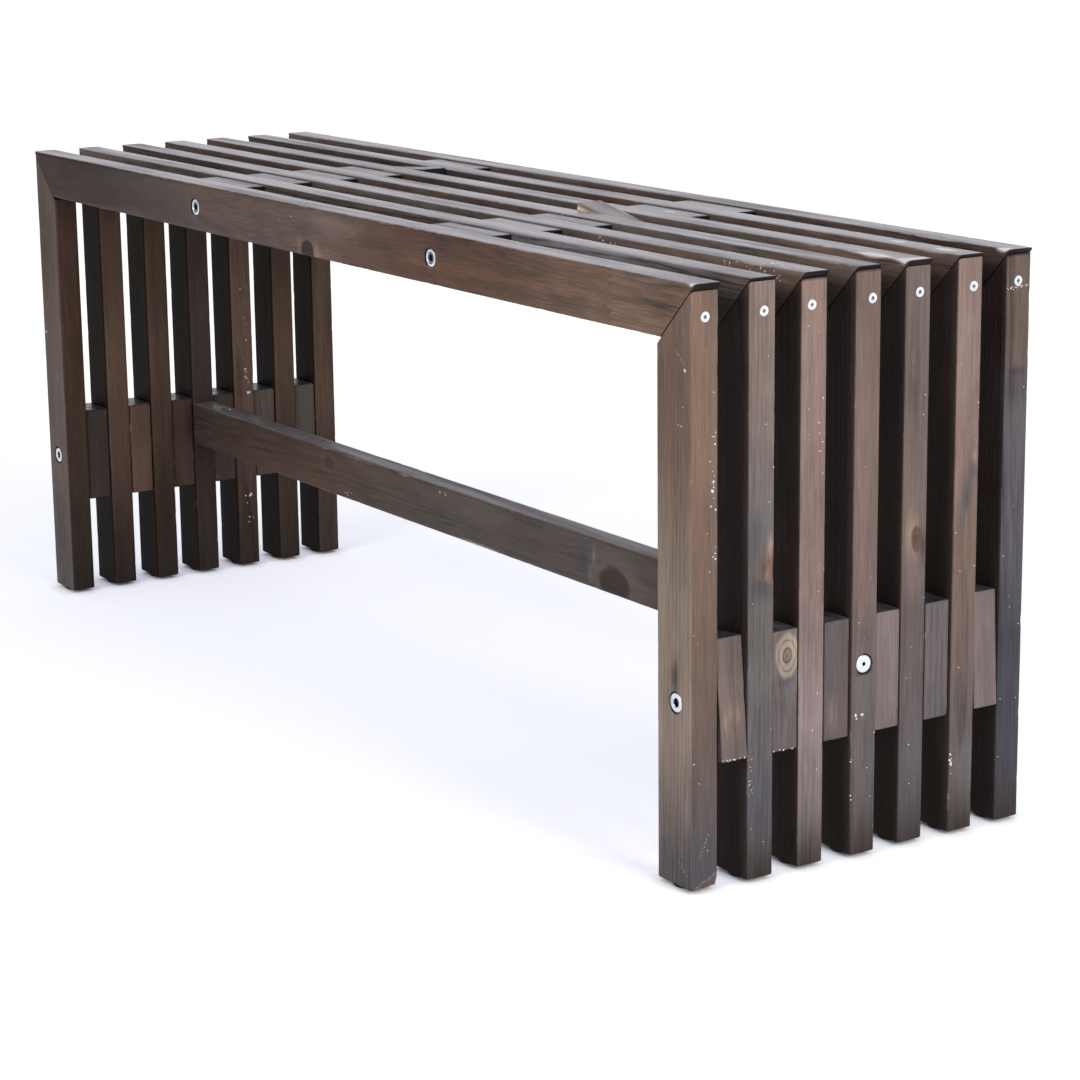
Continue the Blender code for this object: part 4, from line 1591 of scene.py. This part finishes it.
def set_of_fixings():
    inputs = [("Geometry", "Geometry"), ("Fixing", "Object"), ("Spin", "Float", 0.0)]
    inputs += [("Seed", "Int", 1), ("Finish", "Material")]
    tree, given, results = new_tree("set of fixings", "GeometryNodeTree", inputs, [("Geometry", "Geometry")])
    points = wire(tree, "GeometryNodeMeshToPoints", {"Mesh": given["Geometry"]})
    shape = wire(tree, "GeometryNodeObjectInfo", {"Object": given["Fixing"]}, "Geometry")
    facing = named_attribute(tree, "facing", "FLOAT_VECTOR")
    aim = wire(tree, "FunctionNodeAlignRotationToVector", {"Vector": facing}, axis="Z")
    limits = {2: 0.0, 3: given["Spin"], "Seed": given["Seed"]}
    spin = wire(tree, "FunctionNodeRandomValue", limits, 1, data_type="FLOAT")
    about = wire(tree, "FunctionNodeAxisAngleToRotation", {"Axis": (0.0, 0.0, 1.0), "Angle": spin})
    turned_aim = wire(tree, "FunctionNodeRotateRotation", {0: aim, 1: about}, rotation_space="LOCAL")
    copies = wire(tree, "GeometryNodeInstanceOnPoints", {
        "Points": points, "Instance": shape, "Rotation": turned_aim,
        "Scale": named_attribute(tree, "size", "FLOAT"),
    })
    feed(results, {"Geometry": finished(copies, given["Finish"])})
    return tree


SET_OF_FIXINGS = set_of_fixings()


def set_fixings(name, shape_mesh, places, directions, finish, sizes=None):
    marks = bpy.data.meshes.new(name + " places")
    marks.from_pydata([tuple(place) for place in places], [], [])
    store(marks, "facing", "FLOAT_VECTOR", np.array(directions, float))
    store(marks, "size", "FLOAT", np.ones(len(places)) if sizes is None else np.array(sizes, float))
    sample = add_piece(name + " sample", shape_mesh)
    values = {"Fixing": sample, "Spin": math.tau, "Seed": SPIN_SEED, "Finish": finish}
    mesh = run_tree(SET_OF_FIXINGS, name, values, marks)
    bpy.data.objects.remove(sample)
    mesh.set_sharp_from_angle(angle=SMOOTH_LIMIT)
    piece = add_piece(name, mesh)
    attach(piece, "root")
    return piece


def cross_recess(width, reach, depth):
    """Two crossed tapered slots, as a countersunk screw's driver recess."""
    slots = []
    for angle in (0.0, math.pi / 2):
        bm = bmesh.new()
        made = bmesh.ops.create_cube(bm, size=1.0)["verts"]
        bmesh.ops.scale(bm, vec=(reach, width, 2 * depth), verts=made)
        for vert in made:
            if vert.co.z < 0:
                vert.co.x *= DRIVER_TAPER
        bmesh.ops.rotate(bm, cent=(0, 0, 0), matrix=Matrix.Rotation(angle, 3, "Z"), verts=made)
        slots.append(plain_mesh("driver slot", bm))
    return slots


def mitre_screw_shape():
    points = [(0.0, -0.0001), (0.0022, -0.0001), (0.0026, 0.0), (MITRE_SCREW_RADIUS - 0.0005, 0.0)]
    points += [(MITRE_SCREW_RADIUS, -0.0004), (MITRE_SCREW_RADIUS, -0.0007), (0.0018, -0.0030)]
    points += [(0.0018, -0.030), (0.0003, -0.035), (0.0, -0.035)]
    mesh = turned("mitre screw", points, ZINC, MITRE_SCREW_SEGMENTS)
    return darken_recess(drilled(mesh, cross_recess(**DRIVER_SLOT)), *DRIVER_SHADE)


LEGS = [(side, index) for side in SIDES for index in range(FRAME_COUNT)]
mitre_places = []
for side, index in LEGS:
    node = f"{side}_leg_{index + 1}"
    low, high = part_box(node)
    x = outside_of(side, node) + SIDES[side] * MITRE_SCREW_PROUD
    y = (low.y + high.y) / 2 + SIDES[side] * MITRE_SCREW_ASIDE[index]
    mitre_places.append((x, y, MITRE_SCREW_HEIGHT))
mitre_directions = [(SIDES[side], 0.0, 0.0) for side, _ in LEGS]
mitre_screws = set_fixings("mitre_screws", mitre_screw_shape(), mitre_places, mitre_directions, ZINC)
print("mitre screws:", len(mitre_places))

# %% [markdown]
# ## Glides
# The glides are small black plastic buttons nailed under the feet. Their undersides are domed
# and scuffed by the floor.

# %% Glides under the legs
GLIDE_RADIUS = 0.0113
GLIDE_GRIP = 0.0004
GLIDE_SEGMENTS = 36
GLIDE_BLACK = (0.006, 0.006, 0.007)
GLIDE_SCUFF = (0.030, 0.029, 0.028)
GLIDE_ROUGHNESS = 0.55
GLIDE_SHINE = 0.2
SCUFF_NOISE = (700.0, 4.0, 0.7)
SCUFF_FROM = (0.55, 0.8)
SCUFF_ROUGHNESS = 0.3
SCUFF_BUMP = (0.35, 0.0002)


def glide_plastic():
    material, tree, surface = new_material("black glide plastic")
    scuff = noise(object_place(tree), *SCUFF_NOISE)
    mask = eased(scuff, *SCUFF_FROM)
    feed(surface, {
        "Base Color": mixed(mask, GLIDE_BLACK, GLIDE_SCUFF),
        "Roughness": mask * SCUFF_ROUGHNESS + GLIDE_ROUGHNESS,
        "Specular IOR Level": GLIDE_SHINE,
        "Normal": bumped(scuff, *SCUFF_BUMP),
    })
    return material


def glide_shape(plastic):
    points = [(0.0, 0.0), (0.0074, 0.0), (0.0092, 0.0002), (0.0104, 0.0006), (0.0110, 0.0012)]
    points += [(GLIDE_RADIUS, 0.0019), (GLIDE_RADIUS, 0.0027)]
    points += [(0.0110, GLIDE_HEIGHT + GLIDE_GRIP), (0.0, GLIDE_HEIGHT + GLIDE_GRIP)]
    return turned("glide", points, plastic, GLIDE_SEGMENTS)


plastic = glide_plastic()
leg_centres = [node_centre(f"{side}_leg_{index + 1}") for side, index in LEGS]
glide_places = [(middle.x, middle.y, 0.0) for middle in leg_centres]
set_fixings("glides", glide_shape(plastic), glide_places, [(0.0, 0.0, 1.0)] * len(LEGS), plastic)
print("glides:", len(glide_places))

# %% [markdown]
# ## Paint specks
# Tiny drops of pale paint and plaster have dried on the bench, most of them at the right hand
# end. A drop is a low dome with an uneven rim that grips the timber. One dome is made, and the
# same tree sets it at every place with its own turn and size. Places come from a list of groups,
# a list of scratch-like runs and a loose scatter, and each is moved to the nearest timber.

# %% Dried paint specks
SPECK_RADIUS = 0.001
SPECK_HEIGHT = 0.00025
SPECK_GRIP = 0.00015
SPECK_SHOULDER = (0.78, 0.8)
SPECK_RIM = [1.0, 0.82, 1.08, 0.9, 1.12, 0.86, 0.95]
SPECK_SEED = 11
LOOSE_SPECKS = 9
LOOSE_MARGIN = 0.04
LOOSE_SIZES = (0.25, 0.65)
GROUP_SIZES = (0.5, 1.2)
RUN_SIZES = (0.8, 1.2)
RUN_SPREAD = 0.0006
PALE_PAINT = (0.86, 0.86, 0.85)
AGED_PAINT = (0.66, 0.62, 0.55)
AGED_FINENESS = 90.0
AGED_FROM = (0.40, 0.66)
PAINT_ROUGHNESS = 0.45
CRUST_NOISE = (2200.0, 3.0, 0.6)
CRUST_ROUGHNESS = 0.3
CRUST_BUMP = (0.4, 0.0001)
# Board, middle, spread, count and size
SPECK_GROUPS = [
    ("seat_rail_3", (0.505, -0.06, 0.4435), (0.036, 0.0, 0.0055), 30, 0.95),
    ("seat_rail_3", (0.535, -0.051, 0.450), (0.020, 0.007, 0.0), 10, 0.9),
    ("seat_rail_3", (0.318, -0.06, 0.446), (0.014, 0.0, 0.003), 6, 0.8),
    ("right_leg_1", (0.565, -0.137, 0.305), (0.0, 0.003, 0.070), 18, 0.8),
    ("right_leg_1", (0.565, -0.1375, 0.303), (0.0, 0.0015, 0.004), 4, 1.4),
    ("right_leg_3", (0.566, -0.042, 0.325), (0.0, 0.003, 0.036), 7, 0.8),
    ("right_leg_4", (0.568, -0.004, 0.1126), (0.0, 0.004, 0.003), 9, 1.0),
    ("right_leg_4", (0.568, -0.0115, 0.055), (0.0, 0.0006, 0.028), 4, 0.7),
    ("right_leg_4", (0.552, -0.012, 0.098), (0.002, 0.0, 0.001), 2, 1.6),
    ("right_leg_2", (0.568, -0.105, 0.083), (0.0, 0.0026, 0.016), 18, 0.45),
    ("right_leg_spacer_1", (0.570, -0.12, 0.0985), (0.0, 0.011, 0.001), 14, 0.6),
    ("right_leg_spacer_2", (0.565, -0.073, 0.0962), (0.0, 0.010, 0.001), 6, 0.8),
    ("right_leg_6", (0.568, 0.0855, 0.058), (0.0, 0.001, 0.010), 9, 0.8),
    ("right_seat_spacer_5", (0.228, 0.072, 0.450), (0.010, 0.004, 0.0), 10, 1.0),
    ("left_seat_spacer_6", (-0.250, 0.119, 0.450), (0.006, 0.003, 0.0), 4, 1.1),
    ("stretcher", (-0.190, -0.012, 0.146), (0.014, 0.0, 0.003), 5, 0.9),
    ("stretcher", (-0.020, -0.012, 0.177), (0.010, 0.0, 0.001), 3, 0.9),
    ("stretcher", (-0.480, 0.003, 0.1825), (0.008, 0.004, 0.0), 3, 1.4),
    ("left_leg_5", (-0.524, 0.048, 0.077), (0.0, 0.006, 0.001), 3, 1.6),
    ("left_leg_5", (-0.524, 0.050, 0.262), (0.0, 0.006, 0.050), 7, 0.8),
    ("left_leg_5", (-0.524, 0.050, 0.207), (0.0, 0.005, 0.010), 5, 1.1),
    ("left_leg_5", (-0.524, 0.050, 0.060), (0.0, 0.006, 0.014), 4, 0.8),
    ("left_leg_1", (-0.562, -0.156, 0.268), (0.001, 0.0, 0.001), 1, 1.4),
    ("left_leg_5", (-0.524, 0.052, 0.186), (0.0, 0.003, 0.002), 3, 1.5),
    ("seat_rail_1", (-0.030, -0.156, 0.437), (0.020, 0.0, 0.006), 2, 0.6),
    ("right_leg_1", (0.558, -0.156, 0.3885), (0.0006, 0.0, 0.001), 2, 1.9),
    ("right_leg_1", (0.552, -0.156, 0.3560), (0.006, 0.0, 0.010), 3, 0.8),
]
# Board, start, end, count and size
SPECK_RUNS = [
    ("right_leg_1", (0.5475, -0.156, 0.4000), (0.5570, -0.156, 0.3920), 11, 0.28),
    ("right_leg_7", (0.567, 0.1335, 0.4205), (0.567, 0.1535, 0.4215), 22, 0.5),
    ("right_leg_1", (0.565, -0.1475, 0.0285), (0.565, -0.14, 0.0440), 14, 0.26),
    ("right_leg_1", (0.5520, -0.156, 0.0360), (0.5535, -0.156, 0.0265), 8, 0.28),
    ("right_leg_1", (0.5515, -0.156, 0.0220), (0.5590, -0.156, 0.0130), 10, 0.30),
]


def paint_drop():
    """One dome of unit size: a rim that grips the timber, a shoulder and a rounded top."""
    bm = bmesh.new()
    rings = []
    shoulder, shoulder_height = SPECK_SHOULDER
    for reach, height in ((1.0, -SPECK_GRIP), (shoulder, shoulder_height * SPECK_HEIGHT)):
        ring = []
        for step, uneven in enumerate(SPECK_RIM):
            angle = math.tau * step / len(SPECK_RIM)
            radius = SPECK_RADIUS * reach * uneven
            ring.append(bm.verts.new((radius * math.cos(angle), radius * math.sin(angle), height)))
        rings.append(ring)
    crown = bm.verts.new((0.0, 0.0, SPECK_HEIGHT))
    count = len(SPECK_RIM)
    for step in range(count):
        after = (step + 1) % count
        bm.faces.new((rings[0][step], rings[0][after], rings[1][after], rings[1][step]))
        bm.faces.new((rings[1][step], rings[1][after], crown))
    bm.faces.new(rings[0][::-1])
    mesh = plain_mesh("paint drop", bm)
    mesh.shade_smooth()
    return mesh


def dried_paint():
    material, tree, surface = new_material("dried pale paint")
    here = object_place(tree)
    crust = noise(here, *CRUST_NOISE)
    aged = eased(noise(here, AGED_FINENESS), *AGED_FROM)
    feed(surface, {
        "Base Color": mixed(aged, PALE_PAINT, AGED_PAINT),
        "Roughness": crust * CRUST_ROUGHNESS + PAINT_ROUGHNESS,
        "Normal": bumped(crust, *CRUST_BUMP),
    })
    return material


def scatter_specks():
    """Wanted places as board, place and size."""
    rng = np.random.default_rng(SPECK_SEED)
    wanted = []
    for node, place, spread, count, size in SPECK_GROUPS:
        for _ in range(count):
            spot = np.array(place) + np.array(spread) * rng.uniform(-1.0, 1.0, 3)
            wanted.append((node, spot, size * rng.uniform(*GROUP_SIZES)))
    for node, start, stop, count, size in SPECK_RUNS:
        for share in np.linspace(0.0, 1.0, count):
            spot = np.array(start) * (1.0 - share) + np.array(stop) * share
            spot = spot + rng.normal(0.0, RUN_SPREAD, 3)
            wanted.append((node, spot, size * rng.uniform(*RUN_SIZES)))
    for index in range(FRAME_COUNT):
        for node, axis in ((f"seat_rail_{index + 1}", 2), (f"right_leg_{index + 1}", 0)):
            low, high = (np.array(corner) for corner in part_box(node))
            for _ in range(LOOSE_SPECKS):
                spot = low + (high - low) * rng.uniform(LOOSE_MARGIN, 1.0 - LOOSE_MARGIN, 3)
                spot[axis] = high[axis]
                wanted.append((node, spot, rng.uniform(*LOOSE_SIZES)))
    return wanted


bpy.context.view_layer.update()
speck_places = []
speck_directions = []
speck_sizes = []
for node, spot, size in scatter_specks():
    _, place, normal, _ = board_pieces[node].closest_point_on_mesh(Vector(spot))
    speck_places.append(place)
    speck_directions.append(normal)
    speck_sizes.append(size)
set_fixings("paint_specks", paint_drop(), speck_places, speck_directions, dried_paint(), speck_sizes)
print("paint specks:", len(speck_places))
